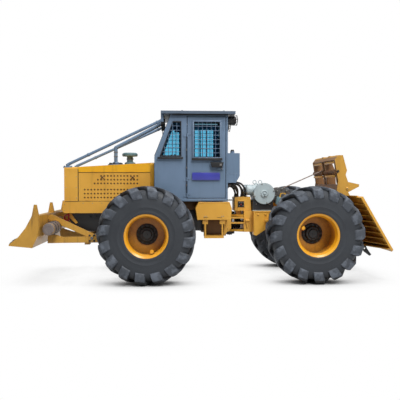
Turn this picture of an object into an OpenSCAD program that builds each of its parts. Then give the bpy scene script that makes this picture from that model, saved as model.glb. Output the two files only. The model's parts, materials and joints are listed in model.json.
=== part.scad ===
// Articulated log skidder: front frame with cab and blade, rear frame with winch and arch.
// The machine faces -X, +Y is its right side, the ground is z = 0.

/* [Layout] */
// Distance between the two axles
wheelbase = 2780; // [2600:10:3400]
// Front axle to the blade's foremost tip
front_reach = 2153; // [2140:5:2500]
// Rear axle to the foot of the butt plate
rear_reach = 1350; // [1250:5:1600]
// Rear axle to the centre pivot
pivot_setback = 1313; // [1300:5:1700]
// Distance between the mid planes of left and right wheels
track = 1900; // [1880:10:2200]

/* [Wheels] */
// Diameter over the tyre lugs
tyre_d = 1605; // [1450:5:1610]
// Width of the tyre
tyre_w = 586; // [400:2:590]
// Diameter of the rim's seat
rim_d = 720; // [560:5:760]
// Wall of the rim barrel
rim_wall = 14; // [8:1:20]
// Width of the flat edge round the rim
rim_lip = 12; // [8:1:16]
// Diameter of the hub's bolt circle
stud_circle = 290; // [270:5:310]
// Diameter of one wheel stud
stud_d = 24; // [16:1:30]
// Number of wheel studs
stud_count = 12; // [8:1:14]

/* [Front frame] */
// Half distance between the frame's outer faces
frame_half = 330; // [300:5:350]
// Thickness of the frame's plates
frame_plate = 25; // [16:1:32]
// Top of the frame
frame_top = 1140; // [1120:5:1200]
// Underside of the belly
belly_z = 820; // [780:5:900]
// Radius of the axle's tubes
axle_tube_r = 115; // [90:5:130]
// Diameter of the centre pivot's pins
pivot_pin_d = 90; // [60:5:110]

/* [Hood] */
// Half width of the hood
hood_half = 480; // [420:5:520]
// Height of the hood's top at the nose
hood_nose_z = 1930; // [1880:5:1980]
// Height of the hood's top at the cab
hood_cab_z = 2005; // [1960:5:2060]
// Thickness of hood sheets
hood_sheet = 6; // [3:1:10]
// Diameter of one cooling hole
vent_d = 30; // [16:1:36]
// Spacing of the cooling holes
vent_pitch = 56; // [50:1:70]

/* [Cab] */
// Half width of the cab
cab_half = 620; // [560:5:635]
// Length of the cab at its floor
cab_len = 1250; // [1230:10:1290]
// Height of the cab's underside
cab_floor_z = 1340; // [1330:5:1400]
// Height of the top of the cab's walls
cab_top_z = 2820; // [2700:10:3000]
// Thickness of walls, pillars and doors
cab_wall = 45; // [30:1:60]
// Thickness of the roof slab
roof_thick = 48; // [30:1:80]
// Thickness of glass
glass_thick = 6; // [4:1:10]
// Width of a door
door_w = 650; // [600:5:680]
// Gap around a door
door_gap = 10; // [8:1:14]

/* [Blade] */
// Width of the blade over its end plates
blade_w = 2380; // [1900:10:2400]
// Thickness of blade plates
blade_plate = 20; // [12:1:30]
// Clearance of the blade's lower edge above the ground
blade_lift = 626; // [560:2:640]
// Thickness of a push arm
arm_w = 60; // [40:2:80]
// Radius of the tubes behind the two ends of the blade
cross_tube_r = 100; // [80:5:110]
// Radius of the shaft that joins the two tubes between the push arms
cross_shaft_r = 40; // [30:1:44]

/* [Rear frame] */
// Half distance between the rear frame's outer faces
rear_half = 400; // [340:5:420]
// Height of the rear deck
deck_z = 1160; // [1120:5:1200]
// Radius of the winch's end flange
winch_r = 186; // [150:2:200]
// Width of the rope arch
arch_w = 1440; // [1200:10:1500]
// Height of the arch's top
arch_top_z = 2130; // [2000:10:2300]
// Width of the butt plate
butt_w = 1900; // [1600:10:2100]
// Diameter of the winch rope
rope_d = 12; // [10:1:20]

/* [Fits] */
// Radial play of a pin in its bore
pin_gap = 0.05; // [0.02:0.01:0.1]
// Gap between parts that turn past each other
run_gap = 6; // [5:1:10]
// Seat gap between a curved piece and what carries it
seat_gap = 0.3; // [0.2:0.1:0.5]

/* [Hidden] */
$fn = 48;

// Stations along the machine
front_x = (front_reach - rear_reach - wheelbase) / 2;
rear_x = front_x + wheelbase;
pivot_x = rear_x - pivot_setback;
axle_z = tyre_d / 2;
wheel_y = track / 2;
nose_x = front_x - 1450;
grille_x = front_x - 1417;
hood_x = front_x - 1181;
cowl_x = front_x + 48;
cab_x = front_x + 118;
cab_back = cab_x + cab_len;

// Wheel sizes
bead_r = rim_d / 2 - 22;
flange_r = rim_d / 2 + 16;
rim_half = tyre_w / 2 - 38;
dish_in = 170;
web_t = 16;
hub_r = 112;
hub_in = 45;
spindle_r = 60;
axle_end = wheel_y - dish_in - hub_in - run_gap;

// Centre pivot heights, from the ground up
ear_t = 40;
ear_low_z = 740;
ear_high_z = frame_top - ear_t;
lug_t = 40;
lug_low_z = ear_low_z + ear_t + run_gap;
lug_high_z = ear_high_z - run_gap - lug_t;
ear_r = pivot_pin_d / 2 + 45;
steer_z = 990;
steer_back = 620;
steer_rest_y = 150;
steer_lug_x = 40;
steer_lug_y = 180;
steer_wall = steer_back + 95;

// Blade linkage
arm_x = front_x - 432;
arm_z = 700;
arm_y = hood_half + 20;
lift_tube_x = arm_x - 600;
lift_tube_z = arm_z - 20;
lift_top_x = arm_x - 50;
lift_top_z = 1040;
lift_y = (frame_half + arm_y) / 2;
blade_tip_x = front_x - front_reach;

module box(x, y, z)
    translate([x[0], y[0], z[0]])
        cube([x[1] - x[0], y[1] - y[0], z[1] - z[0]]);

// An outline drawn in x and z, as thick as y says
module side_plate(outline, y)
    translate([0, y[1], 0])
        rotate([90, 0, 0])
            linear_extrude(height = y[1] - y[0])
                polygon(outline);

// An outline drawn in y and z, running along x
module cross_section(x)
    translate([x[0], 0, 0])
        rotate([90, 0, 90])
            linear_extrude(height = x[1] - x[0])
                children();

module flat_plate(outline, z)
    translate([0, 0, z[0]])
        linear_extrude(height = z[1] - z[0])
            polygon(outline);

module rod(a, b, r) {
    v = b - a;
    translate(a)
        rotate([0, acos(v[2] / norm(v)), atan2(v[1], v[0])])
            cylinder(h = norm(v), r = r);
}

module cross_pin(x, z, r, y)
    rod([x, y[0], z], [x, y[1], z], r);

module post(x, y, r, z)
    translate([x, y, z[0]])
        cylinder(h = z[1] - z[0], r = r);

module both_sides() {
    children();
    mirror([0, 1, 0])
        children();
}

// A square with rounded upper corners, standing on z0
module arched(half, z, r) {
    translate([-half, z[0]])
        square([2 * half, z[1] - z[0] - r]);
    translate([r - half, z[0]])
        square([2 * (half - r), z[1] - z[0]]);
    for (side = [-1, 1])
        translate([side * (half - r), z[1] - r])
            circle(r = r);
}

// ---------- wheels ----------

// Half of the tyre's section from the rim's flange to the shoulder, radius first
function tyre_side(t) = [
    flange_r + 5 + (tyre_d / 2 - 27 - flange_r) * t,
    rim_half - 4 + (tyre_w / 2 - rim_half + 4) * sin(min(1, t / 0.6) * 90) - 12 * max(0, t - 0.8) / 0.2
];

module tyre_shape() {
    bead = [[bead_r, rim_half - 16], [flange_r, rim_half - 4]];
    half = concat(bead, [for (i = [0:8]) tyre_side(i / 8)]);
    crown = [[tyre_d / 2 - 4, tyre_w / 2 - 70], [tyre_d / 2, tyre_w / 2 - 150]];
    upper = concat(half, crown);
    lower = [for (i = [len(upper) - 1:-1:0]) [upper[i][0], -upper[i][1]]];
    rotate([90, 0, 0])
        rotate_extrude($fn = 96)
            polygon(concat(upper, lower));
}

// Outward is +y, and the middle of the tyre is at y = 0
module rim_shape() {
    seat_r = bead_r - seat_gap;
    inner_r = seat_r - rim_wall;
    difference() {
        union() {
            rotate([-90, 0, 0])
                rotate_extrude($fn = 72)
                    polygon([
                        [inner_r, -rim_half - 10], [flange_r, -rim_half - 10], [flange_r, -rim_half - 2],
                        [seat_r, -rim_half + 6], [seat_r, rim_half - 6], [flange_r, rim_half + 2],
                        [flange_r, rim_half + 10], [flange_r - rim_lip, rim_half + 10],
                        [inner_r, rim_half - 12], [inner_r - 24, rim_half - 75],
                        [inner_r - 24, rim_half - 110], [inner_r, rim_half - 140]
                    ]);
            translate([0, -dish_in, 0])
                rotate([-90, 0, 0])
                    cylinder(h = web_t, r = inner_r + 2);
            translate([0, -dish_in - hub_in, 0])
                rotate([-90, 0, 0])
                    cylinder(h = 2 * hub_in + web_t, r = hub_r);
        }
        translate([0, -dish_in - hub_in - 1, 0])
            rotate([-90, 0, 0])
                cylinder(h = 2 * hub_in, r = spindle_r + pin_gap);
        for (i = [0:stud_count - 1])
            rotate([0, i * 360 / stud_count, 0])
                translate([stud_circle / 2, -dish_in - 1, 0])
                    rotate([-90, 0, 0])
                        cylinder(h = web_t + 2, d = stud_d);
    }
}

module at_wheel(x, side)
    translate([x, side * wheel_y, axle_z])
        mirror([0, side < 0 ? 1 : 0, 0])
            children();

module axle_shape() {
    both_sides()
        union() {
            cross_pin(0, 0, axle_tube_r, [0, axle_end - 60]);
            cross_pin(0, 0, axle_tube_r + 35, [axle_end - 190, axle_end]);
            cross_pin(0, 0, spindle_r, [axle_end - 10, axle_end + run_gap + 2 * hub_in - 8]);
        }
    sphere(r = 215);
    rod([-290, 0, 0], [290, 0, 0], 95);
}

// ---------- front frame ----------

belt_z = cab_floor_z;
band_z = 1840;
notch_z = axle_z + axle_tube_r + 70;
pin_r = 28;

frame_in = frame_half - frame_plate;
ear_foot = pivot_x - 290;

// One flange of the centre pivot, let in between the side plates
module pivot_ear(z, reach) {
    flat_plate([
        [pivot_x - reach, -frame_in], [ear_foot, -frame_in], [ear_foot, -frame_half], [pivot_x, -ear_r],
        [pivot_x, ear_r], [ear_foot, frame_half], [ear_foot, frame_in], [pivot_x - reach, frame_in]
    ], [z, z + ear_t]);
    post(pivot_x, 0, ear_r, [z, z + ear_t]);
}

// Rubber feet between the frame and the cab's floor
module cab_feet(x, y)
    color([0.1, 0.1, 0.1])
        both_sides()
            post(x, y, 40, [frame_top, cab_floor_z]);

module front_chassis() {
    color([0.13, 0.13, 0.14])
        both_sides()
            union() {
                side_plate([
                    [nose_x + 90, frame_top], [nose_x + 90, frame_top - 130], [nose_x + 230, belly_z],
                    [arm_x - 130, belly_z], [arm_x - 70, arm_z - 55], [arm_x + 60, arm_z - 55],
                    [arm_x + 105, belly_z], [front_x - 195, belly_z], [front_x - 160, notch_z],
                    [front_x + 160, notch_z], [front_x + 195, belly_z], [pivot_x - 420, belly_z],
                    [pivot_x - 340, ear_low_z], [ear_foot, ear_low_z], [ear_foot, frame_top]
                ], [frame_in, frame_half]);
                // Pins of the blade arm and of the lift cylinder
                cross_pin(arm_x, arm_z, 35, [frame_in, arm_y + arm_w + 12]);
                cross_pin(lift_top_x, lift_top_z, pin_r, [frame_in, lift_y + 42]);
            }
    cab_feet(cab_x + 160, frame_half - 45);
}

module frame_crossmembers() {
    wide = [-frame_in, frame_in];
    color([0.13, 0.13, 0.14]) {
        // Nose plate with its towing eye
        box([nose_x + 90, nose_x + 120], wide, [frame_top - 130, frame_top]);
        difference() {
            box([nose_x + 10, nose_x + 95], [-20, 20], [frame_top - 125, frame_top - 30]);
            cross_pin(nose_x + 48, frame_top - 78, 25, [-30, 30]);
        }
        box([nose_x + 230, nose_x + 400], wide, [belly_z, belly_z + 15]);
        // Hangers of the axle
        for (x = [front_x - 375, front_x + 350])
            union() {
                box([x, x + 25], wide, [belly_z, notch_z + 30]);
                box([x, x + 25], [-130, 130], [axle_z - 95, belly_z + 1]);
            }
        // Engine bearers and belly plate
        for (x = [front_x - 980, front_x - 340])
            box([x, x + 60], wide, [1040, 1100]);
        box([front_x + 360, pivot_x - steer_wall - 27], wide, [belly_z, belly_z + 15]);
    }
}

module pivot_bracket() {
    wide = [-frame_in, frame_in];
    color([0.13, 0.13, 0.14]) {
        // Anchor of the steering cylinders
        box([pivot_x - steer_wall - 25, pivot_x - steer_wall], wide, [belly_z, frame_top]);
        for (z = [steer_z - 58, steer_z + 33])
            box([pivot_x - steer_wall - 1, pivot_x - steer_back + 45], wide, [z, z + 25]);
        both_sides()
            post(pivot_x - steer_back, steer_rest_y, pin_r, [steer_z - 60, steer_z + 60]);
        pivot_ear(ear_low_z, 345);
        pivot_ear(ear_high_z, steer_wall);
        post(pivot_x, 0, pivot_pin_d / 2, [ear_low_z - 14, lug_low_z + lug_t + 8]);
        post(pivot_x, 0, pivot_pin_d / 2, [lug_high_z - 8, frame_top + 14]);
    }
    cab_feet(cab_back - 160, frame_half - 85);
}

module side_skirts() {
    color([0.82, 0.62, 0.26]) {
        both_sides() {
            side_plate([
                [nose_x, belt_z], [nose_x, frame_top + 40], [nose_x + 30, frame_top],
                [cab_x - 10, frame_top], [cab_x - 10, belt_z]
            ], [hood_half - 12, hood_half]);
            box([nose_x + 30, cab_x - 10], [frame_half - 40, hood_half - 12], [frame_top, frame_top + 12]);
            box([nose_x, cab_x - 10], [hood_half - 60, hood_half - 12], [belt_z - 12, belt_z]);
        }
        box([nose_x, nose_x + 12], [12 - hood_half, hood_half - 12], [frame_top + 40, belt_z]);
        box([nose_x + 12, hood_x], [12 - hood_half, hood_half - 12], [belt_z - 12, belt_z]);
    }
}

module front_axle() {
    color([0.16, 0.16, 0.17])
        translate([front_x, 0, axle_z]) {
            axle_shape();
            rod([-350, 0, 0], [350, 0, 0], 80);
        }
}

module engine_block() {
    color([0.35, 0.36, 0.36])
        box([front_x - 1020, front_x - 250], [-190, 190], [1100, 1640]);
}

// ---------- hood ----------

module hood_top() {
    color([0.92, 0.68, 0.22]) {
        intersection() {
            difference() {
                cross_section([hood_x, cowl_x])
                    arched(hood_half, [band_z, hood_cab_z + 40], 36);
                cross_section([hood_x - 1, cowl_x + 1])
                    arched(hood_half - hood_sheet, [band_z - 1, hood_nose_z - hood_sheet - 4], 32);
            }
            side_plate([
                [hood_x, band_z], [hood_x, hood_nose_z], [cowl_x, hood_cab_z - 3], [cowl_x, band_z]
            ], [-hood_half - 5, hood_half + 5]);
        }
        difference() {
            cross_section([cowl_x, cab_x - 8])
                arched(hood_half, [belt_z, hood_cab_z], 36);
            cross_section([cowl_x - 1, cab_x - 30])
                arched(hood_half - 30, [belt_z - 1, hood_cab_z - 40], 20);
        }
    }
}

// Columns: height of the row, holes in it counted from the cab end
vent_rows = [[1775, 12], [1711, 13], [1647, 14], [1541, 17], [1473, 17], [1406, 17]];
vent_end = front_x - 178;

module hood_sides() {
    color([0.80, 0.60, 0.27])
        both_sides()
            side_plate_with_holes([hood_half - 2 * hood_sheet - 2, hood_half - hood_sheet - 2]);
}

module side_plate_with_holes(y)
    translate([0, y[1], 0])
        rotate([90, 0, 0])
            linear_extrude(height = y[1] - y[0])
                difference() {
                    translate([hood_x, belt_z])
                        square([cowl_x - hood_x, band_z - belt_z + 40]);
                    for (row = vent_rows)
                        for (i = [0:row[1] - 1])
                            translate([vent_end - i * vent_pitch, row[0]])
                                circle(d = vent_d);
                }

module nose_grille() {
    open_half = hood_half - 90;
    color([0.80, 0.60, 0.27]) {
        difference() {
            cross_section([grille_x, hood_x])
                arched(hood_half, [belt_z, hood_nose_z], 36);
            cross_section([grille_x + 14, hood_x + 1])
                arched(hood_half - 8, [belt_z - 1, hood_nose_z - 8], 30);
            box([grille_x - 1, grille_x + 20], [-open_half, open_half], [belt_z + 70, hood_nose_z - 90]);
        }
        for (i = [0:12])
            translate([0, (i / 6 - 1) * (open_half - 32), 0])
                box([grille_x + 2, grille_x + 12], [-7, 7], [belt_z + 60, hood_nose_z - 80]);
        for (z = [belt_z + 190, belt_z + 340])
            box([grille_x + 12, grille_x + 24], [-open_half - 12, open_half + 12], [z, z + 24]);
    }
}

// ---------- cab ----------

slope_z = 2100;
slope_run = 280;
door_x = cab_back - 40 - door_w;
door_z = [cab_floor_z + cab_wall + 15, cab_top_z - 40];
window_z = [slope_z - 10, cab_top_z - 130];
screen_z = [slope_z + 50, cab_top_z - 60];
hinge_x = door_x - door_gap / 2;
hinge_y = cab_half + 14;
hinge_heights = [1450, 1720, 2470];

// The cab's front face at height z
function screen_x(z) = cab_x + slope_run * max(0, z - slope_z) / (cab_top_z - slope_z);

// The outline of the cab from the side, shrunk by t
function cab_outline(t) = [
    [cab_x + t, cab_floor_z + t], [cab_x + t, slope_z], [screen_x(cab_top_z) + t, cab_top_z],
    [screen_x(cab_top_z) + t, cab_top_z + t], [cab_back - t, cab_top_z + t], [cab_back - t, cab_floor_z + t]
];

// A sloped band of the windscreen, from depth a to depth b behind the face
function screen_band(z, a, b) = [
    [screen_x(z[0]) + a, z[0]], [screen_x(z[1]) + a, z[1]],
    [screen_x(z[1]) + b, z[1]], [screen_x(z[0]) + b, z[0]]
];

quarter_window = [
    [cab_x + 100, window_z[0] + 20], [screen_x(window_z[1]) + 82, window_z[1]],
    [door_x - 110, window_z[1]], [door_x - 110, window_z[0] + 20]
];
rear_window = [[-470, 470], [cab_floor_z + 560, cab_top_z - 130]];
door_window = [[door_x + 110, door_x + door_w - 100], [window_z[0], window_z[1]]];

module cab_shell() {
    color([0.42, 0.50, 0.60])
        difference() {
            side_plate(cab_outline(0), [-cab_half, cab_half]);
            side_plate(cab_outline(cab_wall), [cab_wall - cab_half, cab_half - cab_wall]);
            box([cab_x - 1, cab_back + 1], [-cab_half - 1, cab_half + 1], [cab_top_z, cab_top_z + 100]);
            side_plate(screen_band(screen_z, -60, 120), [90 - cab_half, cab_half - 90]);
            side_plate(quarter_window, [-cab_half - 1, cab_half + 1]);
            box([cab_back - cab_wall - 1, cab_back + 1], rear_window[0], rear_window[1]);
            box([door_x - door_gap, door_x + door_w + door_gap], [-cab_half - 1, cab_half + 1],
                [door_z[0] - door_gap, door_z[1] + door_gap]);
        }
    color([0.30, 0.34, 0.40])
        both_sides()
            for (z = hinge_heights) {
                post(hinge_x, hinge_y, 12, [z - 32, z - 2]);
                post(hinge_x, hinge_y, 6, [z - 32, z + 28]);
                box([hinge_x - 62, hinge_x], [cab_half, cab_half + 8], [z - 32, z - 2]);
            }
}

module cab_roof() {
    color([0.42, 0.50, 0.60]) {
        box([cab_x + 110, cab_back + 120], [-cab_half - 80, cab_half + 80],
            [cab_top_z, cab_top_z + roof_thick]);
        for (x = [cab_x + 470, cab_back - 70])
            both_sides()
                post(x, cab_half, 14, [cab_top_z + roof_thick - 1, cab_top_z + roof_thick + 16]);
    }
}

module cab_glass() {
    mid = cab_wall / 2;
    color([0.55, 0.75, 0.85, 0.5]) {
        side_plate(screen_band(screen_z, mid, mid + glass_thick), [90 - cab_half, cab_half - 90]);
        both_sides()
            side_plate(quarter_window, [cab_half - mid, cab_half - mid + glass_thick]);
        box([cab_back - mid, cab_back - mid + glass_thick], rear_window[0], rear_window[1]);
    }
}

// The right-hand door, closed
module door_panel() {
    difference() {
        box([door_x, door_x + door_w], [cab_half - cab_wall, cab_half], door_z);
        box(door_window[0], [cab_half - cab_wall - 1, cab_half + 1], door_window[1]);
    }
    for (z = hinge_heights)
        difference() {
            union() {
                post(hinge_x, hinge_y, 12, [z, z + 28]);
                box([hinge_x, hinge_x + 62], [cab_half, cab_half + 8], [z, z + 28]);
            }
            post(hinge_x, hinge_y, 6 + pin_gap, [z - 1, z + 29]);
        }
    // Handle below the window
    box([door_x + door_w - 230, door_x + door_w - 40], [cab_half + 22, cab_half + 36], [1935, 1990]);
    for (x = [door_x + door_w - 215, door_x + door_w - 80])
        box([x, x + 24], [cab_half - 1, cab_half + 23], [1950, 1975]);
}

module door_pane()
    box(door_window[0], [cab_half - cab_wall / 2, cab_half - cab_wall / 2 + glass_thick], door_window[1]);

module operator_seat() {
    color([0.14, 0.14, 0.15]) {
        box([cab_x + 720, cab_x + 1130], [-240, 240], [cab_floor_z + 370, cab_floor_z + 480]);
        translate([cab_x + 1035, -230, cab_floor_z + 478])
            rotate([0, 6, 0])
                cube([90, 460, 560]);
    }
}

module control_console() {
    floor_z = cab_floor_z + cab_wall;
    color([0.2, 0.21, 0.22]) {
        // Dashboard under the windscreen
        side_plate([
            [cab_x + cab_wall, floor_z], [cab_x + cab_wall, slope_z - 20], [cab_x + 200, slope_z - 20],
            [cab_x + 250, slope_z - 120], [cab_x + 190, floor_z + 300], [cab_x + 190, floor_z]
        ], [-400, 400]);
        // Steering column and wheel
        rod([cab_x + 180, 0, floor_z + 350], [cab_x + 440, 0, slope_z - 60], 22);
        translate([cab_x + 440, 0, slope_z - 60])
            rotate([0, 38, 0]) {
                rotate_extrude()
                    translate([190, 0])
                        circle(r = 14);
                for (a = [0, 120, 240])
                    rotate([0, 90, a])
                        cylinder(h = 185, r = 8);
            }
        // Seat pedestal and side consoles
        box([cab_x + 780, cab_x + 1080], [-190, 190], [floor_z, cab_floor_z + 369.7]);
        both_sides()
            box([cab_x + 760, cab_x + 1060], [280, 380], [floor_z, cab_floor_z + 480]);
    }
}

// ---------- pipes, tank, steps and lamps on the front frame ----------

pipe_r = 25;
exhaust_x = front_x - 586;
exhaust_r = 32;
cleaner_x = front_x - 334;

// What stands on the hood's sloping top
module on_hood()
    difference() {
        children();
        side_plate([
            [hood_x, band_z], [hood_x, hood_nose_z], [cowl_x, hood_cab_z - 3], [cowl_x, band_z]
        ], [-hood_half, hood_half]);
    }

module guard_pipes() {
    foot_x = grille_x + 55;
    top_x = cab_x + 132;
    color([0.42, 0.50, 0.60])
        both_sides() {
            post(foot_x, hood_half - 50, 32, [hood_nose_z, hood_nose_z + 50]);
            rod([foot_x, hood_half - 50, hood_nose_z + 40], [top_x, cab_half - 20, cab_top_z - 100], pipe_r);
            box([top_x - 22, top_x + 22], [cab_half - 45, cab_half + 5], [cab_top_z - 130, cab_top_z]);
        }
}

module exhaust_pipe() {
    bend_z = hood_cab_z + 285;
    top_x = cab_x + 132;
    color([0.42, 0.50, 0.60]) {
        on_hood()
            union() {
                post(exhaust_x, 0, 140, [hood_nose_z, hood_nose_z + 62]);
                post(exhaust_x, 0, exhaust_r, [hood_nose_z, bend_z]);
            }
        translate([exhaust_x, 0, bend_z])
            sphere(r = exhaust_r);
        rod([exhaust_x, 0, bend_z], [top_x, 0, cab_top_z - 90], exhaust_r);
        box([top_x - 30, top_x + 30], [-40, 40], [cab_top_z - 120, cab_top_z]);
    }
}

module pre_cleaner() {
    cap_z = hood_cab_z + 128;
    color([0.36, 0.47, 0.50])
        on_hood()
            translate([cleaner_x, 0, 0])
                rotate_extrude($fn = 72)
                    polygon([
                        [0, hood_nose_z + 20], [95, hood_nose_z + 20], [95, hood_nose_z + 88],
                        [54, hood_nose_z + 108], [54, cap_z], [128, cap_z], [137, cap_z + 12],
                        [137, cap_z + 44], [112, cap_z + 64], [0, cap_z + 68]
                    ]);
}

tank_y = [-cab_half + 10, -cab_half + 430];
tank_z = [cab_floor_z + 318, cab_floor_z + 825];

module hydraulic_tank() {
    tank_len = 205;
    color([0.40, 0.48, 0.58])
        side_plate([
            [cab_back, tank_z[0]], [cab_back + tank_len - 66, tank_z[0]], [cab_back + tank_len, tank_z[0] + 118],
            [cab_back + tank_len, tank_z[1]], [cab_back, tank_z[1]]
        ], tank_y);
    color([0.1, 0.1, 0.1])
        post(cab_back + 90, tank_y[0] + 110, 36, [tank_z[1], tank_z[1] + 34]);
}

step_out = 800;
step_in = 460;

module step_boxes() {
    x = cab_back - 500;
    top_z = cab_floor_z - 7;
    bar_z = top_z - 570;
    color([0.85, 0.64, 0.25])
        both_sides() {
            side_plate([
                [x - 7, top_z], [x + 510, top_z], [x + 550, top_z - 105], [x + 530, top_z - 295],
                [x - 30, top_z - 295], [x - 60, top_z - 105]
            ], [step_in, step_out]);
            box([x + 30, x + 250], [frame_half, step_in], [frame_top - 60, frame_top - 30]);
            // Hanging step
            for (hanger = [x + 60, x + 347]) {
                box([hanger, hanger + 90], [step_out - 45, step_out - 33], [top_z - 370, top_z - 295]);
                box([hanger + 33, hanger + 57], [step_out - 45, step_out - 33], [bar_z, top_z - 370]);
            }
            box([x + 85, x + 415], [step_out - 75, step_out - 15], [bar_z - 35, bar_z]);
        }
}

rear_lamp_z = cab_top_z - 92;

module work_lamps() {
    color([0.42, 0.50, 0.60])
        both_sides() {
            // Rear lamps hang from a bracket on the cab's back wall
            box([cab_back, cab_back + 70], [cab_half - 110, cab_half - 90], [rear_lamp_z + 20, rear_lamp_z + 60]);
            cross_lamp(cab_back + 20, cab_half - 100, rear_lamp_z, 110, 75);
            // Front lamps hang from the roof's overhang
            box([cab_x + 130, cab_x + 160], [380, 420], [cab_top_z - 60, cab_top_z]);
            cross_lamp(cab_x + 112, 400, cab_top_z - 120, 70, 65);
        }
}

module cross_lamp(x, y, z, depth, r)
    rod([x, y, z], [x + depth, y, z], r);

// Hose routes from the tank's foot to the rear frame's tower: share of the way, sideways, height
hose_r = 16;
hose_from = cab_back;
hose_to = pivot_x + 156;
tower_z = deck_z + 250;
hose_routes = [
    [[0.28, -540, tank_z[0]], [0.30, -530, tank_z[0] - 98], [0.56, -450, 1450], [0.93, -320, 1420],
     [1.16, -200, 1460], [1.24, -120, 1470], [1.26, -90, tower_z]],
    [[0.47, -470, tank_z[0]], [0.51, -460, tank_z[0] - 78], [0.79, -390, 1510], [1.16, -270, 1500],
     [1.40, -150, 1525], [1.42, -50, 1500], [1.40, -20, tower_z]],
    [[0.28, -320, tank_z[0]], [0.33, -310, tank_z[0] - 98], [0.56, -230, 1480], [0.89, -130, 1470],
     [1.12, -30, 1500], [1.19, 40, 1480], [1.21, 60, tower_z]]
];

// A point on a smooth curve through the route, t counted in stretches
function route_at(p, t) =
    let (n = len(p) - 1, i = min(n - 1, floor(t)), f = t - i,
         a = p[max(0, i - 1)], b = p[i], c = p[i + 1], d = p[min(n, i + 2)])
    0.5 * (2 * b + (c - a) * f + (2 * a - 5 * b + 4 * c - d) * f * f + (3 * b - 3 * c + d - a) * f * f * f);

function unit(v) = v / norm(v);

// A round tube along a route, as rings of eight points
module route_tube(p, r) {
    steps = 3 * (len(p) - 1);
    at = [for (i = [0:steps]) route_at(p, i / 3)];
    along = [for (i = [0:steps]) i == 0 || i == steps ? [0, 0, -1] : unit(at[i + 1] - at[i - 1])];
    rings = [for (i = [0:steps])
        let (u = unit(cross(along[i], [0.3, 1, 0.1])), v = cross(along[i], u))
            for (k = [0:7]) at[i] + r * (cos(45 * k) * u + sin(45 * k) * v)];
    polyhedron(rings, concat(
        [[for (k = [7:-1:0]) k]],
        [[for (k = [0:7]) steps * 8 + k]],
        [for (i = [0:steps - 1]) for (k = [0:7])
            [i * 8 + k, i * 8 + (k + 1) % 8, (i + 1) * 8 + (k + 1) % 8, (i + 1) * 8 + k]]
    ), convexity = 4);
}

module hydraulic_hoses()
    color([0.08, 0.08, 0.08])
        for (route = hose_routes)
            route_tube([for (p = route) [hose_from + p[0] * (hose_to - hose_from), p[1], p[2]]], hose_r);

// ---------- blade ----------

blade_half = blade_w / 2;
blade_back = blade_tip_x + 472;
blade_top = blade_lift + 509;
spike_top = blade_lift + 685;

// The concave front of the blade, from the tip up
blade_front = [
    [blade_tip_x + 5, blade_lift + 62], [blade_tip_x + 149, blade_lift + 175],
    [blade_tip_x + 262, blade_lift + 319], [blade_tip_x + 334, blade_lift + 453],
    [blade_tip_x + 362, blade_top]
];
blade_rear = [
    [blade_back, blade_top], [blade_back, blade_lift + 319], [blade_tip_x + 447, blade_lift + 175],
    [blade_tip_x + 365, blade_lift]
];

module blade() {
    end_t = 30;
    side_outline = concat(
        [[blade_tip_x, blade_lift + 37]], blade_front,
        [[blade_tip_x + 395, spike_top], [blade_tip_x + 437, spike_top]], blade_rear
    );
    skin = [for (p = blade_front) p + [blade_plate, -6]];
    color([0.80, 0.60, 0.27]) {
        for (y = [-blade_half, -end_t / 2, blade_half - end_t])
            side_plate(side_outline, [y, y + end_t]);
        // Front skin, back skin and the shelves that close them
        side_plate(concat(blade_front, [for (i = [4:-1:0]) skin[i]]), [-blade_half + 1, blade_half - 1]);
        side_plate(concat(blade_rear, [for (i = [3:-1:0]) blade_rear[i] - [blade_plate, 0]]),
            [-blade_half + 1, blade_half - 1]);
        box([blade_tip_x + 362, blade_back], [1 - blade_half, blade_half - 1], [blade_top - blade_plate, blade_top]);
        side_plate([
            [blade_tip_x, blade_lift + 37], [blade_tip_x + 5, blade_lift + 62],
            [blade_tip_x + 60, blade_lift + 62], [blade_tip_x + 365, blade_lift + 20],
            [blade_tip_x + 365, blade_lift]
        ], [-blade_half, blade_half]);
    }
}

arm_tube_z = blade_lift + 289;
arm_tube_x = blade_back + cross_tube_r + 25;

module push_arms() {
    color([0.62, 0.47, 0.24])
        both_sides() {
            y = [arm_y, arm_y + arm_w];
            difference() {
                union() {
                    side_plate([
                        [blade_tip_x + 447 + 20, blade_lift + 10], [blade_tip_x + 475, blade_lift + 190],
                        [arm_tube_x + 120, arm_z + 40], [arm_x, arm_z + 55], [arm_x, arm_z - 55],
                        [arm_tube_x + 120, arm_z - 60]
                    ], y);
                    cross_pin(arm_x, arm_z, 62, [arm_y - 4, arm_y + arm_w + 4]);
                    // Brace from the blade's shoulder down to the arm
                    side_plate([
                        [blade_back, blade_top - 30], [blade_back + 60, blade_top - 10],
                        [arm_x - 420, arm_z + 60], [arm_x - 420, arm_z], [arm_x - 500, arm_z],
                        [blade_back, blade_top - 95]
                    ], [y[0] + 12, y[1] - 12]);
                }
                cross_pin(arm_x, arm_z, 35 + pin_gap, [arm_y - 10, arm_y + arm_w + 10]);
            }
        }
    color([0.45, 0.48, 0.50]) {
        cross_pin(arm_tube_x, arm_tube_z, cross_shaft_r, [-arm_y - 10, arm_y + 10]);
        both_sides()
            cross_pin(arm_tube_x, arm_tube_z, cross_tube_r, [arm_y, blade_half - 100]);
    }
    // Forks that the lift cylinders pull on
    color([0.62, 0.47, 0.24])
        both_sides() {
            x = [lift_tube_x - 42, lift_tube_x + 42];
            box(x, [lift_y - 56, arm_y], [lift_tube_z - 76, lift_tube_z - 60]);
            box(x, [lift_y - 56, lift_y - 32], [lift_tube_z - 76, lift_tube_z + 42]);
            box(x, [lift_y + 32, arm_y + 1], [lift_tube_z - 76, lift_tube_z + 42]);
        }
}

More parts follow.
